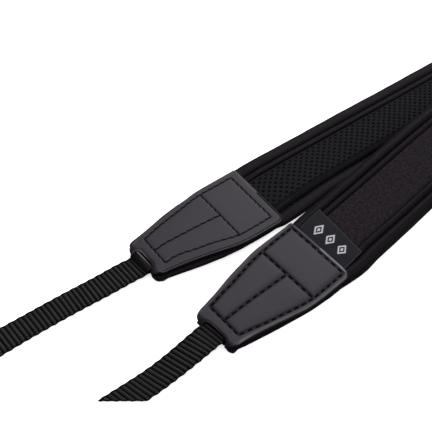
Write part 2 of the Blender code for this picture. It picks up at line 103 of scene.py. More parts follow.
class Ribbon:
    # a smooth middle line through a route, with its own directions at each distance
    def __init__(self, route, samples=36):
        knots = np.array(route, float)
        first = 2 * knots[0] - knots[1]
        last = 2 * knots[-1] - knots[-2]
        first[3], last[3] = knots[0][3], knots[-1][3]
        knots = np.vstack([first, knots, last])
        share = np.arange(samples)[:, None] / samples
        square, cube = share ** 2, share ** 3
        rows = []
        for before, start, end, after in zip(knots, knots[1:], knots[2:], knots[3:]):
            lead, span, trail = (np.linalg.norm((b - a)[:3])
                                 for a, b in ((before, start), (start, end), (end, after)))
            slopeIn = ((start - before) / lead * span + (end - start) / span * lead) / (lead + span) * span
            slopeOut = ((end - start) / span * trail + (after - end) / trail * span) / (span + trail) * span
            rows.append(start * (2 * cube - 3 * square + 1) + slopeIn * (cube - 2 * square + share)
                        + end * (3 * square - 2 * cube) + slopeOut * (cube - square))
        table = np.vstack(rows + [knots[-2][None, :]])
        self.places = table[:, :3]
        steps = np.linalg.norm(np.diff(self.places, axis=0), axis=1)
        self.distances = np.concatenate([[0.0], np.cumsum(steps)])
        self.length = float(self.distances[-1])
        along = unit(np.gradient(self.places, axis=0))
        across = unit(np.array((1.0, 0, 0)) - along * along[:, :1])
        down = along * along[:, 2:] - np.array((0, 0, 1.0))
        down /= np.maximum(np.linalg.norm(down, axis=1)[:, None], 1e-6)
        roll = np.radians(table[:, 3])[:, None]
        self.across = across * np.cos(roll) + down * np.sin(roll)
        self.inward = np.cross(self.across, along)
        turn = np.gradient(along, axis=0) / np.gradient(self.distances)[:, None]
        self.bend = (turn * self.inward).sum(1)     # 1 over the radius, above 0 with the mesh side inside

    def at(self, table, s):
        if table.ndim == 1:
            return np.interp(s, self.distances, table)
        return np.stack([np.interp(s, self.distances, table[:, k]) for k in range(3)], -1)

    def carry(self, s, v, t):
        s, v, t = np.broadcast_arrays(*(np.asarray(x, float) for x in (s, v, t)))
        inside = np.clip(s, 0.0, self.length)
        across, inward = unit(self.at(self.across, inside)), unit(self.at(self.inward, inside))
        beyond = np.cross(inward, across) * (s - inside)[..., None]      # straight on past either end
        world = self.at(self.places, inside) + across * v[..., None] + inward * t[..., None] + beyond
        return (world + layoutShift) * mm


strap = Ribbon(strapRoute)


def fromTip(s):
    return np.minimum(s, strap.length - s)


def carryFromTip(side, u, v, t):
    # u is the distance from the tip of the left or the right tab
    return strap.carry(u if side == "left" else strap.length - u, v, t)


def smooth(low, high, x):
    # 0 below low, 1 above high, and a soft step between; the other way round where low is the higher
    share = np.clip((x - low) / (high - low), 0.0, 1.0)
    return share * share * (3 - 2 * share)


def bell(offset, width, power=2):
    return np.exp(-(offset / width) ** power)


def evenSteps(start, end, step):
    return np.linspace(start, end, max(2, int(round((end - start) / step)) + 1))


def crowded(count, crowding):
    # places from -1 to 1, closer together towards both ends
    return np.sin(np.linspace(-1, 1, count) * crowding) / math.sin(crowding)


def sweep(outline, s):
    # a flat outline of (v, t) repeated along the strap: s, v and t of every point
    v = np.array(np.broadcast_to(outline[:, 0], (len(s), len(outline))))
    t = np.array(np.broadcast_to(outline[:, 1], v.shape))
    return np.broadcast_to(s[:, None], v.shape), v, t


def girthOf(outline):
    return np.concatenate([[0.0], np.cumsum(np.hypot(*np.diff(outline, axis=0).T))])


def gridMesh(name, points, uv):
    # one closed skin round the rows of a grid, with a face over each end; uv is in millimetres
    rows, columns = points.shape[:2]
    index = np.arange(rows * columns).reshape(rows, columns)
    a, b = index[:-1], index[1:]
    quads = np.stack([a, np.roll(a, -1, 1), np.roll(b, -1, 1), b], -1)
    faces = quads.reshape(-1, 4).tolist() + [index[0][::-1].tolist(), index[-1].tolist()]
    mesh = bpy.data.meshes.new(name)
    mesh.from_pydata(points.reshape(-1, 3).tolist(), [], faces)
    setUv(mesh, uv.reshape(-1, 2))
    return addPiece(name, mesh)


def setUv(mesh, uv):
    corner = np.empty(len(mesh.loops), np.int32)
    mesh.loops.foreach_get("vertex_index", corner)
    layer = mesh.uv_layers.get("strapPlace") or mesh.uv_layers.new(name="strapPlace")
    layer.data.foreach_set("uv", uv[corner].astype(np.float32).ravel())


def setAttribute(mesh, name, values):
    made = mesh.attributes.new(name, "FLOAT", "POINT")
    made.data.foreach_set("value", np.asarray(values, np.float32).ravel())


def rework(mesh, work):
    # one turn of bmesh work on a mesh, after which its faces point outwards
    shape = bmesh.new()
    shape.from_mesh(mesh)
    work(shape)
    bmesh.ops.recalc_face_normals(shape, faces=shape.faces)
    shape.to_mesh(mesh)
    shape.free()


def addPiece(name, mesh, sharp=50.0):
    rework(mesh, lambda shape: None)
    mesh.shade_smooth()
    mesh.set_sharp_from_angle(angle=math.radians(sharp))
    piece = bpy.data.objects.new(name, mesh)
    bpy.context.scene.collection.objects.link(piece)
    return piece


def deselectAll():
    for each in bpy.context.view_layer.objects:
        each.select_set(False)


def activate(piece):
    deselectAll()
    piece.select_set(True)
    bpy.context.view_layer.objects.active = piece


def addModifier(piece, name, kind, **settings):
    made = piece.modifiers.new(name, kind)
    for key, value in settings.items():
        setattr(made, key, value)


def applyModifiers(piece):
    activate(piece)
    for modifier in list(piece.modifiers):
        bpy.ops.object.modifier_apply(modifier=modifier.name)


def vertexArray(mesh):
    flat = np.empty(len(mesh.vertices) * 3)
    mesh.vertices.foreach_get("co", flat)
    return flat.reshape(-1, 3)


def setVertices(mesh, places):
    mesh.vertices.foreach_set("co", np.ascontiguousarray(places, dtype=np.float32).ravel())
    mesh.update()


def finishPiece(piece, finish, nodes=()):
    piece.data.materials.clear()
    piece.data.materials.append(finish)
    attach(piece, "root")
    if nodes:
        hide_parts(*nodes)


# ---- camera, floor and light
view = {"azimuth": 49.5, "elevation": 48.185, "distance": 0.296588,
        "focalPixels": 744.5276, "imagePixels": 432}
studio = {
    "floorColour": (0.93, 0.93, 0.93), "floorSize": 6.0, "floorGlow": 0.8,
    "worldColour": (1.0, 0.99, 1.0), "worldStrength": 0.16,
    "lights": [
        # name, size, power, place, aims at
        ("key", 1.0, 13.5, (-0.55, 0.75, 0.95), (0.0, -0.03, 0.0)),
        ("top", 1.2, 9.5, (0.1, -0.1, 1.2), (0.0, -0.03, 0.0)),
        ("right back", 0.6, 3.6, (0.75, 0.45, 0.6), (0.0, -0.05, 0.0)),
    ],
}


def placeLooking(name, data, place, along):
    # a camera or a lamp at its place, looking along a direction
    holder = bpy.data.objects.new(name, data)
    holder.location = place
    holder.rotation_euler = along.to_track_quat("-Z", "Y").to_euler()
    bpy.context.scene.collection.objects.link(holder)
    return holder


def makeCamera():
    azimuth, elevation = math.radians(view["azimuth"]), math.radians(view["elevation"])
    forward = Vector((-math.sin(azimuth) * math.cos(elevation), math.cos(azimuth) * math.cos(elevation),
                      -math.sin(elevation)))
    camera = bpy.data.cameras.new("camera")
    camera.sensor_width = 36.0
    camera.lens = camera.sensor_width * view["focalPixels"] / view["imagePixels"]
    camera.clip_start = 0.01
    place = Vector(layoutShift * mm) - forward * view["distance"]
    bpy.context.scene.camera = placeLooking("camera", camera, place, forward)


def makeStudio():
    scene = bpy.context.scene
    scene.view_settings.view_transform = "Standard"
    # a bright wall behind the floor, and a dim room round the strap
    world = bpy.data.worlds.new("soft room")
    world.use_nodes = True
    room = NodeDesk(world.node_tree)
    background = world.node_tree.nodes["Background"].inputs
    room.fill(background["Color"], studio["worldColour"])
    seen = room.add("ShaderNodeLightPath").outputs["Is Camera Ray"]
    room.fill(background["Strength"], room.math("MAXIMUM", seen, studio["worldStrength"]))
    scene.world = world
    for name, size, power, place, target in studio["lights"]:
        lamp = bpy.data.lights.new(name, "AREA")
        lamp.shape = "SQUARE"
        lamp.size = size
        lamp.energy = power
        placeLooking(name, lamp, place, Vector(target) - Vector(place))
    deselectAll()
    bpy.ops.mesh.primitive_plane_add(size=studio["floorSize"], location=(0, 0, 0))
    floor = bpy.context.object
    floor.name = "floor"
    paper = bpy.data.materials.new("pale floor")
    paper.use_nodes = True
    sockets = paper.node_tree.nodes["Principled BSDF"].inputs
    for name, value in (("Base Color", (*studio["floorColour"], 1)), ("Roughness", 0.9),
                        ("Specular IOR Level", 0.1), ("Emission Color", (*studio["floorColour"], 1)),
                        ("Emission Strength", studio["floorGlow"])):
        sockets[name].default_value = value
    floor.data.materials.append(paper)
    floor.visible_diffuse = False      # the strap's underside stays dark, as over a light table
    floor.visible_glossy = False


# ---- materials
class NodeDesk:
    # short hands for one node tree
    def __init__(self, tree):
        self.tree = tree

    def add(self, kind, **settings):
        made = self.tree.nodes.new(kind)
        for key, value in settings.items():
            setattr(made, key, value)
        return made

    def fill(self, socket, value):
        if isinstance(value, bpy.types.NodeSocket):
            self.tree.links.new(value, socket)
        else:
            socket.default_value = (*value, 1) if isinstance(value, tuple) else value

    def wire(self, kind, inputs, output=0, **settings):
        # a new node, its inputs filled by name or by number
        made = self.add(kind, **settings)
        for key, value in inputs.items():
            self.fill(made.inputs[key], value)
        return made.outputs[output]

    def group(self, tree, **values):
        made = self.add("ShaderNodeGroup", node_tree=tree)
        for name, value in values.items():
            self.fill(made.inputs[name], value)
        return made.outputs

    def math(self, operation, first, second=0.0, third=0.0, clamp=False):
        inputs = {0: first, 1: second, 2: third}
        return self.wire("ShaderNodeMath", inputs, operation=operation, use_clamp=clamp)

    def noise(self, place, scale, detail=2.0, roughness=0.5):
        inputs = {"Vector": place, "Scale": scale, "Detail": detail, "Roughness": roughness}
        return self.wire("ShaderNodeTexNoise", inputs, "Fac")

    def mixColour(self, share, low, high, blend="MIX"):
        # the node's colour inputs are 6 and 7, and its colour output is 2
        inputs = {"Factor": share, 6: low, 7: high}
        return self.wire("ShaderNodeMix", inputs, 2, data_type="RGBA", blend_type=blend)

    def range(self, *values):
        # value, low and high of its own span, and low and high of the new one
        return self.wire("ShaderNodeMapRange", dict(enumerate(values)))

    def attribute(self, name):
        return self.add("ShaderNodeAttribute", attribute_name=name).outputs["Fac"]


def newGroup(name, inputs, outputs):
    # a node group that reads a place and the named numbers, and puts out the named values
    tree = bpy.data.node_groups.new(name, "ShaderNodeTree")
    tree.interface.new_socket(name="Place", in_out="INPUT", socket_type="NodeSocketVector")
    for label, value in inputs.items():
        made = tree.interface.new_socket(name=label, in_out="INPUT", socket_type="NodeSocketFloat")
        made.default_value = value
    for label in outputs:
        tree.interface.new_socket(name=label, in_out="OUTPUT", socket_type="NodeSocketFloat")
    desk = NodeDesk(tree)
    return tree, desk, desk.add("NodeGroupInput").outputs, desk.add("NodeGroupOutput").inputs


def makeFibreGroup():
    # fine uneven fibres and lint: a value for colour and a height for bump
    tree, desk, into, out = newGroup("fibres", {"Fineness": 6.0, "Low": 0.7, "High": 1.3}, ["Tone", "Height"])
    fine = desk.noise(into["Place"], into["Fineness"], 3.0, 0.7)
    desk.fill(out["Tone"], desk.range(fine, 0.3, 0.7, into["Low"], into["High"]))
    desk.fill(out["Height"], fine)
    return tree


def makeRibGroup():
    # straight ribs across the strap, with their crests a little uneven
    tree, desk, into, out = newGroup("ribs", {"Pitch": 0.75, "Slant": 0.0, "Wander": 0.1}, ["Height"])
    parts = desk.add("ShaderNodeSeparateXYZ")
    desk.fill(parts.inputs[0], into["Place"])
    drift = desk.math("MULTIPLY", desk.noise(into["Place"], 0.8), into["Wander"])
    lean = desk.math("MULTIPLY_ADD", parts.outputs["Y"], into["Slant"], parts.outputs["X"])
    turns = desk.math("DIVIDE", desk.math("ADD", lean, drift), into["Pitch"])
    wave = desk.math("SINE", desk.math("MULTIPLY", turns, 2 * math.pi))
    desk.fill(out["Height"], desk.math("MULTIPLY_ADD", wave, 0.5, 0.5))
    return tree


def makeRimHighlightGroup():
    # turns a rim mask into a painted highlight, broken into uneven patches
    tree, desk, into, out = newGroup("painted rim highlight", {"Mask": 0.0, "Amount": 0.5}, ["Rubbed"])
    uneven = desk.range(desk.noise(into["Place"], 0.35, 4.0), 0.35, 0.65, 0.6, 1.0)
    patches = desk.math("MULTIPLY", into["Mask"], uneven)
    desk.fill(out["Rubbed"], desk.math("MULTIPLY", patches, into["Amount"]))
    return tree


# each finish names its shader's numbers, its fibres (fineness, low, high), its ribs (pitch, slant, wander)
# and their bumps (strength, distance); the other colours are laid on by the piece's own masks
# black is painted shade, laid in the spacer mesh's holes and between the webbing's ribs
black = (0.0002, 0.0002, 0.0003)
looks = {
    # the leather's rim colour is a painted highlight along its edges
    "leather": {"roughness": 0.5, "specular": 0.05, "coatRoughness": 0.42, "fibres": (2.2, 0.94, 1.06),
                "fibreBump": (0.15, 0.0001), "poreBump": (0.12, 0.00008), "poreScale": 2.6, "poreWidth": 0.12,
                "cloudScale": 0.12, "colour": (0.0170, 0.0142, 0.0212), "warm": (0.0190, 0.0156, 0.0215),
                "rim": (0.088, 0.083, 0.096), "rawAndShaded": (0.006, 0.0058, 0.0066),
                "paintedShade": (0.0008, 0.0008, 0.0009), "paintedRimLight": 0.9, "rimRoughness": 0.34,
                "coat": 0.26, "rimCoat": 0.6},
    "outer": {"roughness": 0.88, "specular": 0.04, "sheen": 0.04, "sheenRoughness": 0.45,
              "sheenTint": (0.95, 0.9, 1.0), "fibres": (3.4, 0.0, 1.0), "fibreBump": (0.6, 0.00025),
              "ribs": (0.55, 0.6, 0.3), "ribBump": (0.25, 0.00008), "tufts": (0.9, -0.2, 1.2),
              "tuftBump": (0.8, 0.0006), "tuftShare": 0.55, "colour": (0.0008, 0.0004, 0.0009),
              "fleck": (0.0262, 0.0212, 0.0268)},
    "binding": {"roughness": 0.6, "specular": 0.04, "sheen": 0.04, "sheenRoughness": 0.3,
                "sheenTint": (0.95, 0.88, 1.0), "coatRoughness": 0.35, "fibres": (4.0, 0.8, 1.25),
                "fibreBump": (0.3, 0.0001), "ribs": (0.78, 0.05, 0.25), "ribBump": (0.9, 0.0002),
                "ribShade": (0.35, 1.5), "colour": (0.0062, 0.0046, 0.0064), "grooveShade": 0.15,
                "shine": 0.08},
    "mesh": {"roughness": 0.75, "specular": 0.04, "sheen": 0.02, "sheenRoughness": 0.4,
             "sheenTint": (0.9, 0.9, 1.0), "fibres": (5.0, 0.75, 1.3), "fibreBump": (0.3, 0.0001),
             "ribs": (0.42, 0.45, 0.2), "ribBump": (0.35, 0.0001), "colour": (0.0058, 0.0056, 0.0074),
             "lip": (0.0142, 0.0138, 0.0172)},
    "web": {"roughness": 0.5, "specular": 0.03, "coatRoughness": 0.4, "fibres": (5.0, 0.8, 1.25),
            "fibreBump": (0.3, 0.0001), "ribs": (0.22, 0.8, 0.1), "ribBump": (0.3, 0.00006),
            "colour": (0.0172, 0.0150, 0.0178), "shine": 0.56},
    "label": {"roughness": 0.6, "specular": 0.06, "sheen": 0.02, "fibres": (5.0, 0.85, 1.2),
              "fibreBump": (0.2, 0.0001), "ribs": (0.36, 0.0, 0.05), "ribBump": (0.4, 0.00006),
              "colour": (0.0085, 0.0088, 0.0125), "motif": (0.45, 0.45, 0.47), "edge": (0.03, 0.031, 0.037)},
    "thread": {"roughness": 0.6, "specular": 0.03, "fibres": (4.0, 0.6, 1.4), "ribs": (0.3, 1.2, 0.05),
               "ribBump": (0.5, 0.00006), "colour": (0.0025, 0.0024, 0.0027)},
    "glossy": {"roughness": 0.26, "specular": 0.06, "fibres": (1.6, 0.8, 1.3), "fibreBump": (0.2, 0.0001),
               "roughnessSpan": (0.18, 0.34), "colour": (0.004, 0.0038, 0.0046), "highlightBead": (0.32, 0.31, 0.34)},
}
shaderSockets = {"roughness": "Roughness", "specular": "Specular IOR Level", "sheen": "Sheen Weight",
                 "sheenRoughness": "Sheen Roughness", "sheenTint": "Sheen Tint",
                 "coatRoughness": "Coat Roughness"}


class Finish(NodeDesk):
    # a material on its own desk, with the fibres and ribs that most finishes share
    def __init__(self, title, look):
        self.made = bpy.data.materials.new(title)
        self.made.use_nodes = True
        super().__init__(self.made.node_tree)
        self.shader = self.tree.nodes["Principled BSDF"].inputs
        self.look = look
        self.place = self.add("ShaderNodeUVMap", uv_map="strapPlace").outputs[0]
        for name, socket in shaderSockets.items():
            if name in look:
                self.fill(self.shader[socket], look[name])
        self.tone, self.lint = self.fibresOf("fibres")
        if "ribs" in look:
            pitch, slant, wander = look["ribs"]
            made = self.group(ribGroup, Place=self.place, Pitch=pitch, Slant=slant, Wander=wander)
            self.ribs = made["Height"]

    def fibresOf(self, name):
        fineness, low, high = self.look[name]
        made = self.group(fibreGroup, Place=self.place, Fineness=fineness, Low=low, High=high)
        return made["Tone"], made["Height"]

    def over(self, mask, colour, name):
        # one of the look's colours, laid over another where the piece's mask says
        return self.mixColour(self.attribute(mask), colour, self.look[name])

    def tinted(self, colour, tone):
        self.fill(self.shader["Base Color"], self.mixColour(1.0, colour, tone, "MULTIPLY"))

    def raised(self, *bumps):
        # bumps laid one over another, each a height and the look's name for its strength and distance
        below = {}
        for height, name in bumps:
            strength, distance = self.look[name]
            inputs = {"Strength": strength, "Distance": distance, "Height": height, **below}
            below = {"Normal": self.wire("ShaderNodeBump", inputs)}
        self.fill(self.shader["Normal"], below["Normal"])
        return self.made


def makeLeather():
    leather = Finish("charcoal leatherette", looks["leather"])
    look = leather.look
    cloud = leather.range(leather.noise(leather.place, look["cloudScale"]), 0.35, 0.65, 0.0, 1.0)
    rim, dark = leather.attribute("rim"), leather.attribute("dark")
    rimHighlight = leather.group(rimHighlightGroup, Place=leather.place, Mask=rim, Amount=look["paintedRimLight"])["Rubbed"]
    # painted highlight: the rim mask lays the lighter rim colour over the leather, with less roughness and
    # more coat
    paintedRimLight = leather.mixColour(rimHighlight, leather.mixColour(cloud, look["colour"], look["warm"]), look["rim"])
    # painted shade: the dark mask lays a near-black colour in the grooves, seams and creases
    leather.tinted(leather.over("dark", leather.over("rawAndShadedEdge", paintedRimLight, "rawAndShaded"), "paintedShade"), leather.tone)
    rough = leather.range(rimHighlight, 0.0, look["paintedRimLight"], look["roughness"], look["rimRoughness"])
    leather.fill(leather.shader["Roughness"], rough)
    faceCoat = leather.math("MULTIPLY_ADD", dark, -look["coat"], look["coat"])
    coat = leather.math("MULTIPLY_ADD", rim, look["rimCoat"], faceCoat, clamp=True)
    leather.fill(leather.shader["Coat Weight"], coat)
    grain = leather.wire("ShaderNodeTexVoronoi", {"Scale": look["poreScale"], "Vector": leather.place},
                         "Distance", feature="DISTANCE_TO_EDGE")
    pores = leather.range(grain, 0.0, look["poreWidth"], 0.0, 1.0)
    return leather.raised((pores, "poreBump"), (leather.lint, "fibreBump"))


def makeOuterCloth():
    # a dark knit flecked by single fibres and by coarser tufts
    knit = Finish("matte outer knit", looks["outer"])
    tuftTone, tuftHeight = knit.fibresOf("tufts")
    share = knit.look["tuftShare"]
    speckle = knit.math("MULTIPLY_ADD", knit.tone, 1 - share, knit.math("MULTIPLY", tuftTone, share))
    knit.fill(knit.shader["Base Color"], knit.mixColour(speckle, knit.look["colour"], knit.look["fleck"]))
    return knit.raised((knit.ribs, "ribBump"), (tuftHeight, "tuftBump"), (knit.lint, "fibreBump"))


def makeBindingCloth():
    jersey = Finish("ribbed jersey binding", looks["binding"])
    jersey.fill(jersey.shader["Coat Weight"], jersey.math("MULTIPLY", jersey.ribs, jersey.look["shine"]))
    # painted light and shade: the ribs' crests are painted lighter, their troughs and the grooves darker
    shade = jersey.range(jersey.ribs, 0.0, 1.0, *jersey.look["ribShade"])
    deep = jersey.range(jersey.attribute("groove"), 0.0, 1.0, 1.0, jersey.look["grooveShade"])
    tone = jersey.math("MULTIPLY", jersey.math("MULTIPLY", shade, jersey.tone), deep)
    jersey.tinted(jersey.look["colour"], tone)
    return jersey.raised((jersey.ribs, "ribBump"), (jersey.lint, "fibreBump"))


def makeMeshCloth():
    net = Finish("spacer mesh", looks["mesh"])
    # painted light and shade: the lips round the holes are painted lighter and the holes black
    thread = net.over("lip", net.look["colour"], "lip")
    net.tinted(net.mixColour(net.attribute("hole"), thread, black), net.tone)
    return net.raised((net.ribs, "ribBump"), (net.lint, "fibreBump"))


def makeWebCloth():
    webbing = Finish("black ribbed webbing", looks["web"])
    rib = webbing.attribute("rib")
    webbing.tinted(webbing.mixColour(rib, black, webbing.look["colour"]), webbing.tone)
    webbing.fill(webbing.shader["Coat Weight"], webbing.math("MULTIPLY", rib, webbing.look["shine"]))
    return webbing.raised((webbing.ribs, "ribBump"), (webbing.lint, "fibreBump"))


def makeLabelCloth():
    # a woven field with a plain row of lozenges
    weave = Finish("woven label", looks["label"])
    # the edge colour along its ends and sides is a painted highlight
    weave.tinted(weave.over("motif", weave.over("rim", weave.look["colour"], "edge"), "motif"), weave.tone)
    return weave.raised((weave.ribs, "ribBump"), (weave.lint, "fibreBump"))


def makeThread():
    twist = Finish("black sewing thread", looks["thread"])
    twist.tinted(twist.look["colour"], twist.tone)
    return twist.raised((twist.ribs, "ribBump"))


def makeGlossy():
    strip = Finish("glossy black strip", looks["glossy"])
    # the bead colour is a painted highlight along the tongue's raised bead
    strip.tinted(strip.over("highlightBead", strip.look["colour"], "highlightBead"), strip.tone)
    _, low, high = strip.look["fibres"]
    strip.fill(strip.shader["Roughness"], strip.range(strip.tone, low, high, *strip.look["roughnessSpan"]))
    return strip.raised((strip.lint, "fibreBump"))


# ---- the pad
pad = {
    "halfWidth": 16.7, "halfThickness": 2.9, "ridgeStart": 8.4, "webPocket": 5.5,
    "bindingStart": 2.2, "panelStart": 17.0, "seamStart": 25.0,
    "stitchPitch": 2.9, "stitchShare": 0.82, "seamLevel": 1.42,
    "sink": 0.7, "sinkSpan": (47.0, 60.0),         # the left end lies low in its tab
    "plump": 0.95, "plumpFrom": (52.0, 57.0), "plumpTo": (68.0, 84.0),     # the lower half's near edge
    "foldCrease": 0.35, "creasePitch": 5.4, "creaseBend": 0.06, "creaseWander": 0.6, "creaseBeat": 0.37,
}
padEnd = np.array([
    # u, half width at the left end and at the right end, front thickness, back thickness
    (2.2, 10.1, 8.2, 1.0, 0.8), (3.0, 10.7, 8.6, 1.15, 0.9), (4.0, 11.1, 9.1, 1.2, 0.9),
    (8.0, 11.8, 10.2, 1.2, 0.95), (12.0, 12.7, 11.05, 1.25, 1.0), (20.0, 14.7, 12.55, 1.25, 1.05),
    (28.0, 16.1, 14.0, 1.3, 1.1), (36.0, 16.9, 15.1, 1.3, 1.2), (44.0, 16.95, 15.6, 1.3, 1.25),
    (50.0, 17.0, 15.6, 1.35, 1.3), (56.0, 17.0, 16.4, 1.5, 1.5), (59.0, 17.0, 16.8, 1.9, 2.0),
    (63.0, 16.95, 16.95, 2.4, 2.5), (70.0, 16.7, 16.7, 2.9, 2.9),
])
# the rolled edge fills more of the space between a tab's two sheets than the panels do
rollEnd = np.array([
    # u, front thickness, back thickness
    (2.2, 1.2, 0.9), (4.0, 1.9, 1.0), (8.0, 2.3, 1.1), (28.0, 2.35, 1.35), (50.0, 2.4, 1.9),
    (59.0, 2.45, 2.2), (63.0, 2.6, 2.6), (70.0, 2.9, 2.9),
])


def readTable(table, u):
    # every column of a table at any places, its first column being the place
    return [np.interp(u, table[:, 0], column) for column in table.T[1:]]


def padPoint(s, v, t, roll=0.0):
    # a point of the full cross-section, trimmed and squeezed near the tabs; roll is 1 on the rolled edge
    u = fromTip(s)
    isLower = s < strap.length / 2
    leftHalf, rightHalf, front, back = readTable(padEnd, u)
    rollFront, rollBack = readTable(rollEnd, u)
    front, back = front + (rollFront - front) * roll, back + (rollBack - back) * roll
    plump = pad["plump"] * smooth(*pad["plumpFrom"], s) * (1 - smooth(*pad["plumpTo"], s))
    half = np.where(isLower, leftHalf, rightHalf) + np.where(v > 0, plump * isLower, 0.0)
    squeeze = half / pad["halfWidth"]
    inner = np.maximum(pad["ridgeStart"] * squeeze, pad["webPocket"])
    share = (np.abs(v) - pad["ridgeStart"]) / (pad["halfWidth"] - pad["ridgeStart"])
    outside = np.sign(v) * (inner + share * (half - inner))
    vHere = np.where(np.abs(v) < pad["ridgeStart"], v * squeeze, outside)
    sink = pad["sink"] * (1 - smooth(*pad["sinkSpan"], s))
    tHere = t * np.where(t > 0, back, front) / pad["halfThickness"] - sink
    return strap.carry(s, vHere, tHere)


def foldCrease(s, t):
    # the inner side of the fold gathers into low creases
    sharp = np.clip(strap.at(strap.bend, s) / pad["creaseBend"], 0.0, 1.0)
    wander = pad["creaseWander"] * np.sin(s * pad["creaseBeat"])
    wave = 0.5 - 0.5 * np.cos(2 * math.pi * s / pad["creasePitch"] + wander)
    return -pad["foldCrease"] * sharp * wave * np.clip(t / pad["halfThickness"], 0.0, 1.0)


panels = {
    "outer": {"sign": -1, "left": 8.72, "right": 8.72, "step": 0.9, "columns": 37},
    "mesh": {"sign": 1, "left": 7.95, "right": 8.5, "step": 0.4, "columns": 57},
    "top": 2.6, "corner": 1.9, "cornerDrop": 0.95, "sag": 0.22,
    "reach": 13.4, "squeezed": 0.95, "slit": 0.2, "crowding": 1.35,
}
holes = {"along": 3.3, "across": 2.95, "halfLength": 0.82, "halfWidth": 0.4, "depth": 0.75, "lip": 0.2,
         "middle": 0.25, "margin": (6.9, 7.5), "soft": (0.35, 1.25), "lipAt": 2.4, "net": 0.03,
         "wander": 0.12, "wanderAlong": 0.21, "wanderAcross": 0.8}


def crown(v, panel):
    # a panel's height between its seams: a low crown with rounded shoulders
    middle = (panel["right"] - panel["left"]) / 2
    half = (panel["right"] + panel["left"]) / 2
    off = np.abs(v - middle)
    into = np.clip((off - (half - panels["corner"])) / panels["corner"], 0.0, 1.0)
    drop = panels["cornerDrop"] * (1 - np.sqrt(np.maximum(1 - into ** 2, 0.0)))
    return panels["top"] - panels["sag"] * (off / half) ** 2 - drop


def meshHoles(s, v):
    # staggered slots of the spacer mesh: 1 in a hole, 0 on the threads between, and the raised lip round each
    deepest, lip = np.zeros((2, *np.broadcast(s, v).shape))
    wander = holes["wander"] * np.sin(s * holes["wanderAlong"]) * np.cos(v * holes["wanderAcross"])
    for shift in (0.0, 0.5):
        du = ((s + wander) / holes["along"] + shift) % 1.0 - 0.5
        dv = (v / holes["across"] + shift) % 1.0 - 0.5
        ring = ((du * holes["along"] / holes["halfLength"]) ** 2
                + (dv * holes["across"] / holes["halfWidth"]) ** 2)
        deepest = np.maximum(deepest, 1 - smooth(*holes["soft"], ring))
        lip = np.maximum(lip, bell(ring - holes["lipAt"], 1.0))
    within = 1 - smooth(*holes["margin"], np.abs(v - holes["middle"]))
    return deepest * within, lip * within


# the panels' filling is simulated on coarse blanks, ten times their size so that Cloth's springs suit them
stuffing = {"scale": 10 * mm, "step": 2.4, "columns": 13, "depth": 1.2, "pressure": 4.0, "frames": 20,
            "slack": -0.02, "crumple": 0.12, "share": 0.25, "most": 0.45}


def stuffPanel(kind):
    # a closed blank of one panel, sewn down all round, swells under pressure: places and heights in mm
    panel = panels[kind]
    s = evenSteps(pad["panelStart"], strap.length - pad["panelStart"], stuffing["step"])
    v = np.linspace(-panel["left"], panel["right"], stuffing["columns"])
    crumple = np.random.default_rng(5).uniform(-1, 1, (len(s), len(v))) * stuffing["crumple"]
    crumple[:, [0, -1]] = 0
    points = np.zeros((len(s), 2 * len(v), 3))
    points[..., 0] = s[:, None]
    points[..., 1] = np.concatenate([v, v[::-1]])
    points[:, :len(v), 2] = crumple
    points[:, len(v):, 2] = -stuffing["depth"]
    blank = gridMesh("blank_" + kind, points * stuffing["scale"], points[..., :2])
    sewn = np.zeros((len(s), 2 * len(v)), bool)
    sewn[:, len(v):] = sewn[:, [0, len(v) - 1]] = sewn[[0, -1]] = True
    pins = blank.vertex_groups.new(name="sewn")
    pins.add(np.flatnonzero(sewn).tolist(), 1.0, "REPLACE")
    cloth = blank.modifiers.new("stuffing", "CLOTH")
    cloth.settings.vertex_group_mass = "sewn"
    cloth.settings.use_pressure = True
    cloth.settings.uniform_pressure_force = stuffing["pressure"]
    cloth.settings.shrink_min = stuffing["slack"]
    cloth.settings.effector_weights.gravity = 0.0
    for moment in range(1, stuffing["frames"] + 1):
        bpy.context.scene.frame_set(moment)
    applyModifiers(blank)
    height = vertexArray(blank.data)[:, 2].reshape(points.shape[:2])[:, :len(v)] / stuffing["scale"]
    bpy.data.objects.remove(blank, do_unlink=True)
    bpy.context.scene.frame_set(1)
    print("stuffed %s: %.2f to %.2f mm" % (kind, height.min(), height.max()))
    return s, v, np.clip(height * stuffing["share"], -stuffing["most"], stuffing["most"])


def readHeights(table, s, v):
    # the heights of a stuffed blank at any places
    atS, atV, height = table
    row = np.clip(np.interp(s, atS, np.arange(len(atS))), 0, len(atS) - 1.001)
    column = np.clip(np.interp(v, atV, np.arange(len(atV))), 0, len(atV) - 1.001)
    i, j = row.astype(int), column.astype(int)
    a, b = smooth(0, 1, row - i), smooth(0, 1, column - j)
    return ((height[i, j] * (1 - a) + height[i + 1, j] * a) * (1 - b)
            + (height[i, j + 1] * (1 - a) + height[i + 1, j + 1] * a) * b)


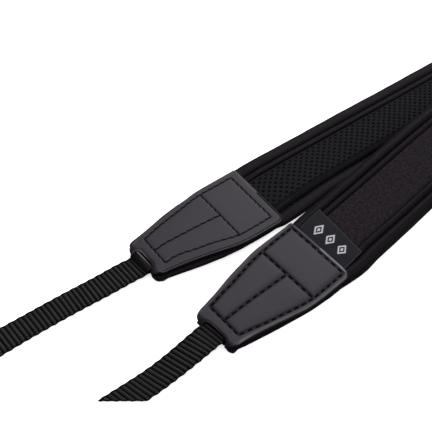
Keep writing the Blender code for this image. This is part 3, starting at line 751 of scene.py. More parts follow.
def makePanel(kind, finish, slot):
    panel = panels[kind]
    columns, reach = panel["columns"], panels["reach"]
    s = evenSteps(pad["panelStart"], strap.length - pad["panelStart"], panel["step"])
    middle, half = (panel["right"] - panel["left"]) / 2, (panel["right"] + panel["left"]) / 2
    across = middle + half * crowded(columns, panels["crowding"])
    skirt = [(panel["right"], panels["squeezed"]), (reach, panels["squeezed"]), (reach, panels["slit"]),
             (0.0, panels["slit"]), (-reach, panels["slit"]), (-reach, panels["squeezed"]),
             (-panel["left"], panels["squeezed"])]
    outline = np.vstack([np.stack([across, crown(across, panel)], -1), skirt])
    place, v, t = sweep(outline, s)
    onTop = np.zeros(v.shape)
    onTop[:, :columns] = 1.0
    t += onTop * readHeights(stuffPanel(kind), place, v)
    hole = lip = np.zeros(v.shape)
    if kind == "mesh":
        hole, lip = (each * onTop for each in meshHoles(place, v))
        net = sum(np.cos(2 * math.pi * (place / holes["along"] + sign * v / holes["across"]))
                  for sign in (1, -1))
        t += onTop * (holes["net"] * net + holes["lip"] * lip - holes["depth"] * hole)
        t += onTop * foldCrease(place, t)
    girth = girthOf(outline)
    uv = np.stack([place, np.broadcast_to(girth - girth[columns // 2], v.shape)], -1)
    piece = gridMesh(kind + "_panel", padPoint(place, v, panel["sign"] * t), uv)
    setAttribute(piece.data, "hole", hole)
    setAttribute(piece.data, "lip", lip)
    finishPiece(piece, finish, [slot])     # the node has its slot's name


bindingOutline = np.array([
    # v, t from the ridge's foot on the mesh side, round the strap's edge, to the foot on the outer side
    (8.32, 1.15), (8.28, 2.2), (8.4, 2.55), (8.75, 2.8), (9.3, 2.9), (9.9, 2.86), (10.3, 2.66), (10.6, 2.32),
    (10.78, 1.92), (10.92, 1.56), (11.1, 1.43), (11.28, 1.56), (11.42, 1.9), (11.6, 2.25), (11.95, 2.52),
    (12.6, 2.72), (13.4, 2.83), (14.2, 2.86), (15.0, 2.8), (15.7, 2.6), (16.2, 2.25), (16.48, 1.7),
    (16.52, 1.0), (16.42, 0.3), (16.22, -0.5), (15.95, -1.1), (15.55, -1.7), (15.05, -2.2), (14.45, -2.56),
    (13.75, -2.78), (13.1, -2.78), (12.6, -2.62), (12.25, -2.32), (12.02, -1.92), (11.86, -1.56),
    (11.66, -1.43), (11.46, -1.56), (11.32, -1.92), (11.12, -2.32), (10.82, -2.66), (10.4, -2.86),
    (9.9, -2.9), (9.4, -2.8), (9.05, -2.55), (8.92, -2.2), (8.95, -1.15),
])
bindingHollow = [(13.8, -1.15), (13.8, 1.15)]     # where the panels' edges go in
binding = {
    "step": 0.8, "grooveMesh": 11.1, "grooveOuter": 11.66, "pucker": 0.07, "puckerWidth": 1.2,
    "shift": 0.27, "shiftSpan": (9.2, 10.9),      # the mesh side's ridges both stand a little towards +X
    "nearFall": 0.7, "fallFrom": (8.9, 10.2), "fallTo": (11.1, 12.4),     # the near ridge falls into a seam
    "rollSpan": (9.5, 12.5), "waveSpan": (11.7, 13.5), "waves": ((0.07, 0.13, 1), (0.05, 0.41, 2)),
    "shade": (2.45, 1.5), "shadeReach": 0.6, "nearShade": (2.88, 2.3), "nearReach": 1.35,
    "footShade": (2.5, 2.1), "foot": 9.3,
}


def makeBinding(side, finish):
    sign = -1 if side == "left" else 1
    v, t = bindingOutline.T.copy()
    onMesh = t > 0
    v += np.where(onMesh, sign * binding["shift"] * (1 - smooth(*binding["shiftSpan"], v)), 0.0)
    if side == "right":
        fall = binding["nearFall"] * smooth(*binding["fallFrom"], v) * (1 - smooth(*binding["fallTo"], v))
        t -= np.where(onMesh, fall, 0.0)
    outline = np.vstack([np.stack([v, t], -1), bindingHollow])
    s = evenSteps(pad["bindingStart"], strap.length - pad["bindingStart"], binding["step"])
    place, v, t = sweep(outline, s)
    fromGroove = v - np.where(t > 0, binding["grooveMesh"], binding["grooveOuter"])
    pull = np.sin(2 * math.pi * place / pad["stitchPitch"])
    t += np.sign(t) * binding["pucker"] * pull * bell(fromGroove, binding["puckerWidth"])
    wave = sum(height * np.sin(place * beat + turn * sign) for height, beat, turn in binding["waves"])
    t += np.sign(t) * wave * smooth(*binding["waveSpan"], v) * (np.abs(t) > 0.3)
    t += foldCrease(place, t)
    places = padPoint(place, sign * v, t, smooth(*binding["rollSpan"], v))
    uv = np.stack([place, np.broadcast_to(girthOf(outline), v.shape)], -1)
    piece = gridMesh("rolled_edge_" + side, places, uv)
    # the grooves and the ridges' feet lie in shade, and the near ridge shades its whole seam
    height, fromGroove = np.abs(outline[:, 1]), np.abs(fromGroove[0])
    deep = smooth(*binding["shade"], height) * (fromGroove < binding["shadeReach"])
    if side == "right":
        near = smooth(*binding["nearShade"], height) * (fromGroove < binding["nearReach"])
        deep = np.maximum(deep, near * (outline[:, 1] > 0))
    foot = (outline[:, 0] < binding["foot"]) * smooth(*binding["footShade"], height)
    setAttribute(piece.data, "groove", np.broadcast_to(np.maximum(deep, foot), v.shape))
    finishPiece(piece, finish, ["edge_binding_" + side])


# ---- stitches
stitch = {"parts": 6, "bluntness": 4, "least": 0.001, "dipPower": 3, "turning": 0.035, "straying": 0.03,
          "smoothAngle": 80.0}


def stitchShape():
    # one stitch of thread, lying along X with blunt ends, from a small ball
    deselectAll()
    bpy.ops.mesh.primitive_uv_sphere_add(segments=stitch["parts"], ring_count=stitch["parts"], radius=1.0)
    ball = bpy.context.object
    bpy.ops.object.mode_set(mode="EDIT")
    bpy.ops.mesh.select_all(action="SELECT")
    bpy.ops.transform.rotate(value=math.pi / 2, orient_axis="Y", center_override=(0, 0, 0))
    bpy.ops.object.mode_set(mode="OBJECT")
    places = vertexArray(ball.data).copy()
    faces = [tuple(face.vertices) for face in ball.data.polygons]
    bpy.data.objects.remove(ball, do_unlink=True)
    least = stitch["least"]
    fuller = np.maximum(np.hypot(places[:, 1], places[:, 2]), 1e-6)
    girth = (1 - np.abs(places[:, 0]) ** stitch["bluntness"]) ** 0.5 * (1 - least) + least
    places[:, 1:] *= (girth / fuller)[:, None]
    return places, faces


def sewLine(points, pitch, length):
    # stitches spread evenly along a line of (u, v) corners: place, direction and length
    corners = np.array(points, float)
    gone = girthOf(corners)
    count = max(1, round(gone[-1] / pitch))
    ends = np.linspace(0, gone[-1], count + 1)
    u, v = (np.interp(ends, gone, corners[:, k]) for k in (0, 1))
    return [((u0 + u1) / 2, (v0 + v1) / 2, math.atan2(v1 - v0, u1 - u0),
             math.hypot(u1 - u0, v1 - v0) * length) for u0, u1, v0, v1 in zip(u, u[1:], v, v[1:])]


def makeStitches(name, stitches, height, carry, thread, finish):
    # height(u, v) is the surface under each stitch; stitches are (u, v, angle, length)
    form, formFaces = stitchForm
    u, v, angle, length = (np.array(column) for column in zip(*stitches))
    rng = np.random.default_rng(11)
    angle = angle + thread["slant"] + rng.normal(0, stitch["turning"], len(u))
    x = form[None, :, 0] * length[:, None] / 2
    y = form[None, :, 1] * thread["radius"] + rng.normal(0, stitch["straying"], len(u))[:, None]
    cos, sin = np.cos(angle)[:, None], np.sin(angle)[:, None]
    uu = u[:, None] + x * cos - y * sin
    vv = v[:, None] + x * sin + y * cos
    dip = thread["dip"] * np.abs(form[None, :, 0]) ** stitch["dipPower"]
    lift = form[None, :, 2] * thread["radius"] * thread["flat"] + thread["above"] - dip
    places = carry(uu, vv, height(u, v)[:, None], lift)
    faces = [[corner + i * len(form) for corner in face] for i in range(len(u)) for face in formFaces]
    mesh = bpy.data.meshes.new(name)
    mesh.from_pydata(places.reshape(-1, 3).tolist(), [], faces)
    setUv(mesh, np.stack([uu, vv], -1).reshape(-1, 2))
    piece = addPiece(name, mesh, stitch["smoothAngle"])
    finishPiece(piece, finish)


padThread = {"radius": 0.24, "slant": 0.0, "dip": 0.25, "above": 0.12, "flat": 1.0}


def makePadStitches(name, face, finish):
    # face is +1 on the mesh side and -1 on the outer side
    start, end = pad["seamStart"], strap.length - pad["seamStart"]
    count = round((end - start) / pad["stitchPitch"])
    groove = binding["grooveMesh" if face > 0 else "grooveOuter"]
    length = pad["stitchPitch"] * pad["stitchShare"]
    rows = [(start + (end - start) * (i + 0.5) / count, side * groove, 0.0, length)
            for side in (-1, 1) for i in range(count)]

    def height(s, v):
        return np.full(len(s), pad["seamLevel"])

    def carry(s, v, level, lift):
        return padPoint(s, v, face * (level + lift))

    makeStitches(name, rows, height, carry, padThread, finish)


# ---- the end tabs
tab = {
    "leather": 1.0, "bevel": 0.28, "frontLevel": 3.6, "noseBackLevel": 2.3, "wideBackLevel": 3.4,
    "narrowLine": 7.4, "crossLine": 37.4, "middle": 20.0,
    "setBack": {"left": 0.65, "right": 1.45}, "noseLean": 0.07,
    "noseTrim": {"left": {"left": -0.1, "right": 0.6}, "right": {"left": 0.4, "right": 0.5}},   # tab, edge
    "slotDepth": {"left": 3.0, "right": 2.3}, "slotHalf": 5.5, "slotMiddle": 0.3, "slotCorner": 2.4,
    "slotLip": 0.45, "slotLipWidth": 1.2,
    "grooveHalf": 0.58, "grooveDepth": 0.45, "backDent": 0.12, "dentWidth": 0.5, "puff": 0.12,
    "rimFall": 0.12, "rimFallWidth": 2.6, "creaseInside": 0.5, "creaseDepth": 0.3, "creaseWidth": 0.24,
    "cornerLift": 0.5, "liftLength": 2.5, "liftSpan": (-13.2, -15.4),
    "skin": 0.5,                     # what lies this near a face's level counts as its outer side
    "faintRim": 0.15, "rimWidth": (0.2, 1.6), "mouthRim": 0.8, "mouthReach": 6.0,
    "wallRim": 0.95, "wallWidth": 0.3, "lipRim": {"front": 0.35, "back": 0.9},
    "seamDark": 0.75, "seamWidth": 0.26, "grooveDark": 0.5, "rawWidth": (0.02, 0.2),
    "flatWidth": 2 * 15.65, "noseTurn": 3.4, "taper": 0.8,
}
lineOffsets = (-0.8, -0.58, -0.4, -0.2, 0.0, 0.2, 0.4, 0.58, 0.8)     # rows and columns beside a stitch line
rimInsides = (1.3, 1.15, 1.05, 0.95, 0.85, 0.75, 0.55, 0.4, 0.25, 0.12, 0.0)     # and inside an edge
noseOutline = [(0.0, 5.9), (0.2, 6.85), (0.5, 7.35), (0.9, 7.75), (1.4, 8.08), (2.0, 8.3), (2.6, 8.45)]


def edgeRow(*halves):
    # an edge's distances from v = 0 behind the nose
    return list(zip((4.0, 8.0, 12.0, 16.0, 20.0, 24.0, 28.0, 32.0, 36.0, 40.0, 44.0, 58.0), halves))


tabFaces = {
    # every line is a row of (u, v)
    "back": {
        "wideLine": 52.65, "edge": 56.4, "cornerLeft": 0.8, "cornerRight": 3.3, "roundRight": 0.0,
        "lean": [(34.0, 0.0), (52.6, -0.027), (56.4, -0.044)],
        "left": edgeRow(8.9, 10.0, 10.8, 11.6, 12.3, 12.9, 13.7, 14.5, 15.2, 15.4, 15.5, 15.6),
        "right": edgeRow(9.5, 10.45, 11.05, 11.85, 12.7, 13.7, 14.7, 15.8, 16.6, 16.85, 17.0, 17.25),
        "rightBelow": [(5.0, 8.4), (7.4, 9.0), (17.3, 11.2), (24.0, 12.4), (33.0, 13.8), (37.5, 14.3),
                       (42.0, 14.5), (58.0, 14.7)],     # where the back lies below, on the right tab
        "stitchLeft": [(7.4, -7.2), (16.0, -9.4), (28.0, -11.4), (33.0, -12.5), (37.4, -12.9),
                       (52.65, -12.9)],
        "stitchRight": [(7.4, 6.9), (11.0, 6.4), (15.0, 6.9), (19.0, 8.2), (24.0, 9.3), (28.0, 10.2),
                        (32.0, 11.5), (37.4, 13.1), (52.65, 13.2)],
        "stitchMiddle": [(7.4, -0.4), (12.0, -0.95), (20.0, -0.6), (28.0, -0.2), (37.4, 0.5)],
    },
    "front": {
        "wideLine": 53.42, "edge": 54.93, "cornerLeft": 1.7, "cornerRight": 2.6, "roundRight": 1.1,
        "lean": [(30.0, 0.0), (37.4, 0.015), (40.0, 0.01), (53.4, -0.056), (54.93, -0.064)],
        "left": edgeRow(8.9, 9.95, 10.65, 11.65, 12.65, 13.45, 14.05, 14.85, 15.35, 15.55, 15.65, 15.75),
        "right": edgeRow(9.2, 9.9, 10.6, 11.4, 12.25, 13.2, 14.1, 15.0, 15.35, 15.45, 15.4, 15.3),
        "stitchLeft": [(7.4, -7.8), (12.0, -8.8), (16.0, -9.5), (20.0, -10.1), (28.0, -11.7), (32.0, -12.5),
                       (37.4, -13.1), (44.0, -13.7), (53.42, -14.0)],
        "stitchRight": [(7.4, 6.8), (12.0, 7.9), (16.0, 9.0), (20.0, 10.0), (24.0, 10.8), (28.0, 11.7),
                        (32.0, 12.5), (37.4, 13.2), (53.42, 12.8)],
        "stitchMiddle": [(7.4, -0.7), (20.0, -0.7), (37.4, -0.1)],
    },
}
noseRadius = (tab["frontLevel"] + tab["noseBackLevel"]) / 2
noseMiddle = tab["noseBackLevel"] - noseRadius


def along(table, u):
    return np.interp(u, *np.array(table).T)


def tabHalf(side, face, name, u):
    # distance of one edge from v = 0, its wide corner rounded
    look = tabFaces[face]
    below = side == "right" and face == "back" and name == "right"
    table = noseOutline + look["rightBelow" if below else name]
    gentle = np.clip(u / 4 - 1, 0, 1.5)
    half = sum(along(table, u + gentle * step) for step in (-1, -0.5, 0, 0.5, 1)) / 5
    corner = look["cornerLeft" if name == "left" else "cornerRight"]
    into = np.clip(u - (look["edge"] - corner), 0.0, corner)
    trim = tab["noseTrim"][side][name] * smooth(0.0, 0.7, u) * (1 - smooth(3.0, 8.0, u))
    return half + trim - corner + np.sqrt(corner ** 2 - into ** 2)


def slotHalf(u, depth):
    # half the width of the slot's mouth at u, its far corners rounded
    into = np.clip(u - (depth - tab["slotCorner"]), 0.0, tab["slotCorner"])
    return tab["slotHalf"] - tab["slotCorner"] + np.sqrt(tab["slotCorner"] ** 2 - into ** 2)


def fromSlot(u, v, depth):
    # distance outside the slot's mouth
    corner = tab["slotCorner"]
    acrossIt = np.abs(v - tab["slotMiddle"]) - tab["slotHalf"] + corner
    alongIt = u - depth + corner
    outside = np.hypot(np.maximum(acrossIt, 0), np.maximum(alongIt, 0))
    return outside + np.minimum(np.maximum(acrossIt, alongIt), 0) - corner


def slotLip(side, u, v):
    # how far the sheet turns in round the slot's mouth
    return tab["slotLip"] * (1 - smooth(0.0, tab["slotLipWidth"], fromSlot(u, v, tab["slotDepth"][side])))


def sideDistance(side, face, u, v):
    left, right = (tabHalf(side, face, name, u) for name in ("left", "right"))
    return np.where(v > 0, right - v, v + left)


def rowPlaces(face, depth):
    # u of the rows between the nose and the wide edge, close together along the stitch lines and the corners
    look = tabFaces[face]
    places = [depth] if depth > noseRadius else []
    places += [noseRadius + step for step in (0.25, 0.5, 0.8, 1.2, 1.6)]
    for line in (tab["narrowLine"], tab["crossLine"], look["wideLine"]):
        places += [line + offset for offset in lineOffsets]
    for corner in (look["cornerLeft"], look["cornerRight"]):
        places += [look["edge"] - corner * (1 - math.sin(math.radians(10 * k))) for k in range(9)]
    places = sorted(place for place in places if place < look["edge"] - 0.04)
    filled = [places[0]]
    for place in places[1:] + [look["edge"]]:
        gap = place - filled[-1]
        if gap < 0.05:
            continue
        parts = max(1, math.ceil(gap / 1.0))
        filled += [filled[-1] + gap * (i + 1) / parts for i in range(parts)]
    return filled


def tabColumns(side, face, u):
    # places across one row, from left to right; eight on each side lie inside the slot's mouth
    look = tabFaces[face]
    depth = tab["slotDepth"][side]
    middle = float(along(look["stitchMiddle"], u))
    groove = tab["grooveHalf"]
    sides = []
    for sign, edge, line in ((-1, "left", "stitchLeft"), (1, "right", "stitchRight")):
        half = float(tabHalf(side, face, edge, u)) - sign * middle
        seam = min(sign * (float(along(look[line], u)) - middle), half - 1.75)
        if u <= depth:
            mouth = float(slotHalf(u, depth)) + sign * (tab["slotMiddle"] - middle)
        else:
            blend = float(smooth(depth, tab["narrowLine"] + 1.0, u))
            atDepth = tab["slotHalf"] - tab["slotCorner"] + sign * (tab["slotMiddle"] - middle)
            mouth = atDepth * (1 - blend) + 0.6 * seam * blend
        inner = [0.2, 0.4, groove, 0.8] + [0.8 + (mouth - 0.8) * k / 4 for k in (1, 2, 3)]
        even = np.linspace(mouth, half, 24)
        clusters = [seam + offset for offset in lineOffsets[:-1]]
        regular = [mouth + (clusters[0] - mouth) * k / 3 for k in (0, 1, 2)] + clusters
        rim = min(1.0, (half - seam - groove - 0.04) / rimInsides[0])
        regular += [clusters[-1] + (half - rimInsides[0] * rim - clusters[-1]) * k / 3 for k in (1, 2)]
        regular += [half - rim * inside for inside in rimInsides]
        blend = float(smooth(depth, tab["narrowLine"] - 0.9, u))
        outer = even * (1 - blend) + np.array(regular) * blend
        sides.append(middle + sign * np.array(inner + outer.tolist()))
    return np.concatenate([sides[0][::-1], [middle], sides[1]])


def backLevel(u):
    share = np.clip((u - noseRadius) / (tabFaces["back"]["edge"] - noseRadius), 0, 1)
    return tab["noseBackLevel"] + (tab["wideBackLevel"] - tab["noseBackLevel"]) * share


def noseRow(side, u, angle):
    # one row of the turn round the nose, as (v, u, t)
    turn = math.radians(angle)
    share = (1 + math.sin(turn)) / 2
    v = tabColumns(side, "back", u) * share + tabColumns(side, "front", u) * (1 - share)
    radius = noseRadius - slotLip(side, u, v)
    return np.stack([v, noseRadius - radius * math.cos(turn), noseMiddle + radius * math.sin(turn)], -1)


def faceRow(side, face, u):
    # one row of a face, which falls at its sides, round the slot and at the front's rounded right edge
    look = tabFaces[face]
    v = tabColumns(side, face, u)
    fromSide = sideDistance(side, face, u, v)
    drop = tab["rimFall"] * (1 - smooth(0.0, tab["rimFallWidth"], fromSide)) * smooth(2.0, 7.0, u)
    drop = drop + slotLip(side, u, v)
    if look["roundRight"]:
        radius = look["roundRight"] * smooth(2.5, 12.0, u)
        into = np.clip(1 - fromSide / max(radius, 1e-3), 0, 1) * (v > 0)
        drop = drop + radius * (1 - np.sqrt(1 - into ** 2))
        lift = smooth(look["edge"] - tab["liftLength"], look["edge"], u) * smooth(*tab["liftSpan"], v)
        drop = drop - tab["cornerLift"] * lift
    t = backLevel(u) - drop if face == "back" else drop - tab["frontLevel"]
    return np.stack([v, np.full(len(v), u), t], -1)


def tabGrid(side):
    # rows from the back's wide edge round the nose to the front's wide edge, and the u of each
    depth = tab["slotDepth"][side]
    back, front = rowPlaces("back", depth)[::-1], rowPlaces("front", depth)
    angles = list(np.linspace(90, -90, 31))
    if depth < noseRadius:
        rim = math.degrees(math.acos(1 - depth / noseRadius))
        angles = [angle for angle in angles if abs(abs(angle) - rim) > 1.5]
        angles = sorted(angles + [rim, -rim], reverse=True)
    nose = [noseRadius - noseRadius * math.cos(math.radians(angle)) for angle in angles]
    rows = [faceRow(side, "back", u) for u in back]
    rows += [noseRow(side, u, angle) for u, angle in zip(nose, angles)]
    rows += [faceRow(side, "front", u) for u in front]
    return np.array(rows), back + nose + front


def makeTabSheet(name, side):
    # the sheet in strap space: x is v, y is u, z is t
    points, rowAt = tabGrid(side)
    depth = tab["slotDepth"][side]
    middle = points.shape[1] // 2
    index = np.arange(points.shape[0] * points.shape[1]).reshape(points.shape[:2])
    faces = []
    for i in range(len(rowAt) - 1):
        mouthRow = max(rowAt[i], rowAt[i + 1]) <= depth + 1e-6
        for j in range(points.shape[1] - 1):
            if mouthRow and middle - 8 <= j < middle + 8:
                continue
            faces.append((index[i, j], index[i, j + 1], index[i + 1, j + 1], index[i + 1, j]))
    mesh = bpy.data.meshes.new(name)
    mesh.from_pydata(points.reshape(-1, 3).tolist(), [], [tuple(int(k) for k in face) for face in faces])

    def clean(shape):
        loose = [vertex for vertex in shape.verts if not vertex.link_faces]
        bmesh.ops.delete(shape, geom=loose, context="VERTS")

    rework(mesh, clean)
    # the sheet is open, so its faces may still all point inwards
    outward = sum(face.normal.dot(face.center - Vector((0, tab["middle"], 0))) for face in mesh.polygons)
    if outward < 0:
        mesh.flip_normals()
    mesh.shade_smooth()
    sheet = bpy.data.objects.new(name, mesh)
    bpy.context.scene.collection.objects.link(sheet)
    addModifier(sheet, "thickness", "SOLIDIFY", thickness=tab["leather"], offset=-1.0, use_even_offset=True)
    addModifier(sheet, "rounded edge", "BEVEL", width=tab["bevel"], segments=3, limit_method="ANGLE",
                angle_limit=math.radians(50))
    applyModifiers(sheet)
    return sheet


def tabLines(face):
    look = tabFaces[face]
    rows = [[near, *rest] for near, *rest in (look["stitchLeft"], look["stitchRight"])]
    ends = []
    for u in (tab["narrowLine"], tab["crossLine"], look["wideLine"]):
        ends.append([(u, float(along(look["stitchLeft"], u))), (u, float(along(look["stitchRight"], u)))])
    return rows + ends + [look["stitchMiddle"]]


def lineDistance(face, u, v):
    # distance of each point from the nearest stitch line
    nearest = np.full(u.shape, 99.0)
    for line in tabLines(face):
        for (u0, v0), (u1, v1) in zip(line, line[1:]):
            du, dv = u1 - u0, v1 - v0
            share = np.clip(((u - u0) * du + (v - v0) * dv) / (du * du + dv * dv), 0, 1)
            nearest = np.minimum(nearest, np.hypot(u - u0 - share * du, v - v0 - share * dv))
    return nearest


def tabPlace(side, u, v, t):
    # from the sheet's own rows to the strap: the wide edges run askew and the nose stands back
    back, front = (along(tabFaces[face]["lean"], u) for face in ("back", "front"))
    askew = np.where(t < 0, front, back) * v
    standsBack = (tab["setBack"][side] + tab["noseLean"] * v) * np.clip(1 - u / tab["narrowLine"], 0, None)
    return carryFromTip(side, u + askew + standsBack, v, t)


def makeTab(side, finish):
    name = "leather_tab_" + side
    sheet = makeTabSheet(name, side)
    mesh = sheet.data
    v, u, t = vertexArray(mesh).T
    isFront = t < 0

    def byFace(value):
        return np.where(isFront, value("front"), value("back"))

    distance = byFace(lambda face: lineDistance(face, u, v))
    fromSide = byFace(lambda face: sideDistance(side, face, np.clip(u, 0, tabFaces[face]["edge"]), v))
    fromEdge = np.minimum(fromSide, byFace(lambda face: tabFaces[face]["edge"]) - u)
    fromMouth = np.abs(fromSlot(u, v, tab["slotDepth"][side]))
    pastNose = u > noseRadius + 0.2
    outerFront = np.clip((-t - (tab["frontLevel"] - tab["skin"])) * 5, 0, 1) * pastNose
    outerBack = np.clip((t - (backLevel(u) - tab["skin"])) * 5, 0, 1) * pastNose
    outer = np.maximum(outerFront, outerBack)
    isWall = ~isFront & (v > 0) & (fromSide < tab["wallWidth"]) & pastNose & (t > backLevel(u) - tab["skin"])

    # the front's grooves and raised panels, and the back's dents and the crease inside its right edge
    groove = bell(distance, tab["grooveHalf"] * 0.95, 4)
    panel = (u > tab["narrowLine"]) & (u < byFace(lambda face: tabFaces[face]["wideLine"]))
    left, right = (along(tabFaces["front"][line], u) for line in ("stitchLeft", "stitchRight"))
    panel = panel & (v > left) & (v < right)
    puff = tab["puff"] * smooth(0.5, 3.0, distance) * panel
    t = t + outerFront * (tab["grooveDepth"] * groove - puff)
    crease = bell(fromEdge - tab["creaseInside"], tab["creaseWidth"]) * smooth(2.0, 4.5, u) * (v > 0)
    t = t - outerBack * (tab["backDent"] * bell(distance, tab["dentWidth"]))
    t = t - outerBack * tab["creaseDepth"] * crease

    # painted highlight on the rims and round the slot's mouth, painted shade in grooves and creases, and dark
    # cut edges
    nearMouth = tab["mouthRim"] * (1 - smooth(0.1, 0.8, fromMouth)) * (u < tab["mouthReach"])
    rim = np.maximum(1 - smooth(*tab["rimWidth"], fromEdge), nearMouth)
    rimHighlight = np.where(isFront & (v > 0), rim * smooth(3.0, 8.0, u), tab["faintRim"] * rim)
    rimHighlight = np.where(isWall, tab["wallRim"], rimHighlight * np.where(pastNose, outer, 0.5))
    lip = (1 - smooth(0.2, 0.8, fromMouth)) * (u < tab["mouthReach"]) * (1 - smooth(-2.0, 2.5, v))
    # painted highlight: the rims, the slot's mouth and the right wall get the light rim colour
    setAttribute(mesh, "rim", np.maximum(rimHighlight, lip * byFace(tab["lipRim"].get)))
    # painted shade: the front's grooves and the back's seams and crease are darkened where shade falls
    seam = tab["seamDark"] * bell(distance, tab["seamWidth"])
    paintedShade = np.maximum(tab["grooveDark"] * outerFront * groove, outerBack * np.maximum(crease, seam))
    setAttribute(mesh, "dark", paintedShade)
    # the cut edges are darkened for their own raw colour and as painted shade
    setAttribute(mesh, "rawAndShadedEdge", (1 - smooth(*tab["rawWidth"], fromEdge)) * (1 - outer * 0.8) * ~isWall)
    setUv(mesh, np.stack([u, v + np.where(t < 0, 40.0, 0.0)], -1))
    setVertices(mesh, tabPlace(side, u, v, t))
    bpy.data.objects.remove(sheet, do_unlink=True)
    piece = addPiece(name, mesh, 60.0)
    finishPiece(piece, finish, ["end_tab_" + side])


tabThread = {
    "front": {"radius": 0.32, "slant": 0.0, "dip": 0.3, "above": 0.16, "flat": 0.9,
              "length": 0.72, "pitch": 3.2},
    "back": {"radius": 0.28, "slant": 0.2, "dip": 0.2, "above": 0.06, "flat": 0.8,
             "length": 1.12, "pitch": 2.9},
}


def makeTabStitches(side, face, finish):
    thread = tabThread[face]
    rows = []
    for line in tabLines(face):
        rows += sewLine(line, thread["pitch"], thread["length"])
    sign = 1 if face == "back" else -1

    def height(u, v):
        if face == "back":
            return backLevel(u) - tab["backDent"]
        return np.full(len(u), tab["frontLevel"] - tab["grooveDepth"])

    def carry(u, v, level, lift):
        return tabPlace(side, u, v, sign * (level + lift))

    makeStitches("tab_stitches_%s_%s" % (side, face), rows, height, carry, thread, finish)


# ---- webbing
web = {
    "halfWidth": 5.1, "halfThickness": 0.7, "squareness": 16, "columns": 53, "crowding": 1.3,
    "rowsPerRib": 8, "beyond": 8.0, "ribPitch": 1.75, "ribHeight": 0.5, "ribFullness": 0.7, "oddRib": 0.82,
    "yarns": 13, "yarnHeight": 0.24, "selvage": (0.84, 0.95), "selvageFlat": 0.75, "selvageDip": 0.1,
    "scallop": 0.12, "scallopSpan": (0.9, 1.0), "lit": (0.15, 0.7), "edgeDark": 0.85, "darkSpan": (0.78, 0.9),
    "knotLight": 0.7, "knotLit": (0.6, 0.95), "knotAt": 0.93, "knotWidth": 0.04,
}
webRoutes = {
    "left": [(3.1, -23.2, 2.4, 0.0), (2.6, -31.5, 2.4, 0.0), (2.1, -39.5, 2.4, 0.0), (1.15, -46.0, 2.1, 2.0),
             (0.15, -54.0, 1.5, 1.0), (-1.7, -68.0, 0.8, 0.0), (-2.85, -83.0, 0.7, 0.0),
             (-3.6, -100.0, 1.0, 3.0)],
    "right": [(43.1, -24.2, 4.65, 3.5), (43.1, -32.2, 4.4, 3.5), (43.05, -40.4, 4.15, 3.5),
              (43.2, -44.0, 3.9, 2.5), (43.25, -49.0, 3.2, 0.0), (43.15, -54.0, 2.3, -3.0),
              (43.0, -59.0, 1.6, -5.0), (42.85, -64.0, 1.2, -5.0), (42.6, -69.0, 1.15, -5.0),
              (42.15, -76.0, 1.15, -5.0)],
}
webCuts = {"left": 0.8, "right": -1.27}     # how far the cut end runs ahead for each millimetre towards +X
ribLeans = {
    # the same for the ribs, at each distance
    "left": [(14.0, -0.17), (45.0, -0.04)],
    "right": [(16.0, -0.13), (22.0, -0.28), (40.0, -0.28), (52.0, -0.24)],
}


def makeWebbing(side, finish):
    # ribs across a flat tube of yarns, drawn flat, cut askew at the end and then laid along the route
    ribbon = Ribbon(webRoutes[side])
    s = evenSteps(0.0, ribbon.length + web["beyond"], web["ribPitch"] / web["rowsPerRib"])
    across = crowded(web["columns"], web["crowding"])
    upper = np.stack([across, np.clip(1 - np.abs(across) ** web["squareness"], 0, 1) ** 0.5], -1)
    place, share, fall = sweep(np.vstack([upper, upper[-2:0:-1] * (1, -1)]), s)
    out = np.abs(share)
    phase = (place - along(ribLeans[side], place) * share * web["halfWidth"]) / web["ribPitch"]
    isOdd = np.floor(phase) % 2
    rib = (0.5 - 0.5 * np.cos(2 * math.pi * phase)) ** web["ribFullness"]
    yarn = 0.5 * np.cos(math.pi * web["yarns"] * (share + 1) + math.pi * isOdd)
    selvage = smooth(*web["selvage"], out)
    knot = 0.5 - 0.5 * np.cos(2 * math.pi * (phase / 2 + 0.25 * np.sign(share)))
    relief = web["ribHeight"] * (rib * np.where(isOdd, web["oddRib"], 1.0) - 1)
    relief = (relief + web["yarnHeight"] * rib * (yarn - 0.5)) * (1 - web["selvageFlat"] * selvage)
    relief = relief - web["selvageDip"] * selvage * (1 - knot)
    half = web["halfWidth"] + web["scallop"] * (knot - 0.5) * 2 * smooth(*web["scallopSpan"], out)
    flat = np.stack([share * half, place, fall * (web["halfThickness"] + relief)], -1)
    piece = gridMesh("ribbed_webbing_" + side, flat, np.stack([place, share * web["halfWidth"]], -1))
    mesh = piece.data
    # the ribs' yarns catch the light, and the edges lie in shade with a knot at the end of each rib
    lit = smooth(*web["lit"], rib) * (0.5 + yarn) * (1 - web["edgeDark"] * smooth(*web["darkSpan"], out))
    knots = web["knotLight"] * smooth(*web["knotLit"], rib) * bell(out - web["knotAt"], web["knotWidth"])
    setAttribute(mesh, "rib", lit + knots)

    def cutEnd(shape):
        bmesh.ops.bisect_plane(shape, geom=shape.verts[:] + shape.edges[:] + shape.faces[:], dist=1e-4,
                               plane_co=(0, ribbon.length, 0), plane_no=(-webCuts[side], 1, 0),
                               clear_outer=True)
        bmesh.ops.edgeloop_fill(shape, edges=[edge for edge in shape.edges if edge.is_boundary])

    rework(mesh, cutEnd)
    v, s, t = vertexArray(mesh).T
    setVertices(mesh, ribbon.carry(s, v, t))
    mesh.set_sharp_from_angle(angle=math.radians(50.0))
    finishPiece(piece, finish, ["webbing_" + side])


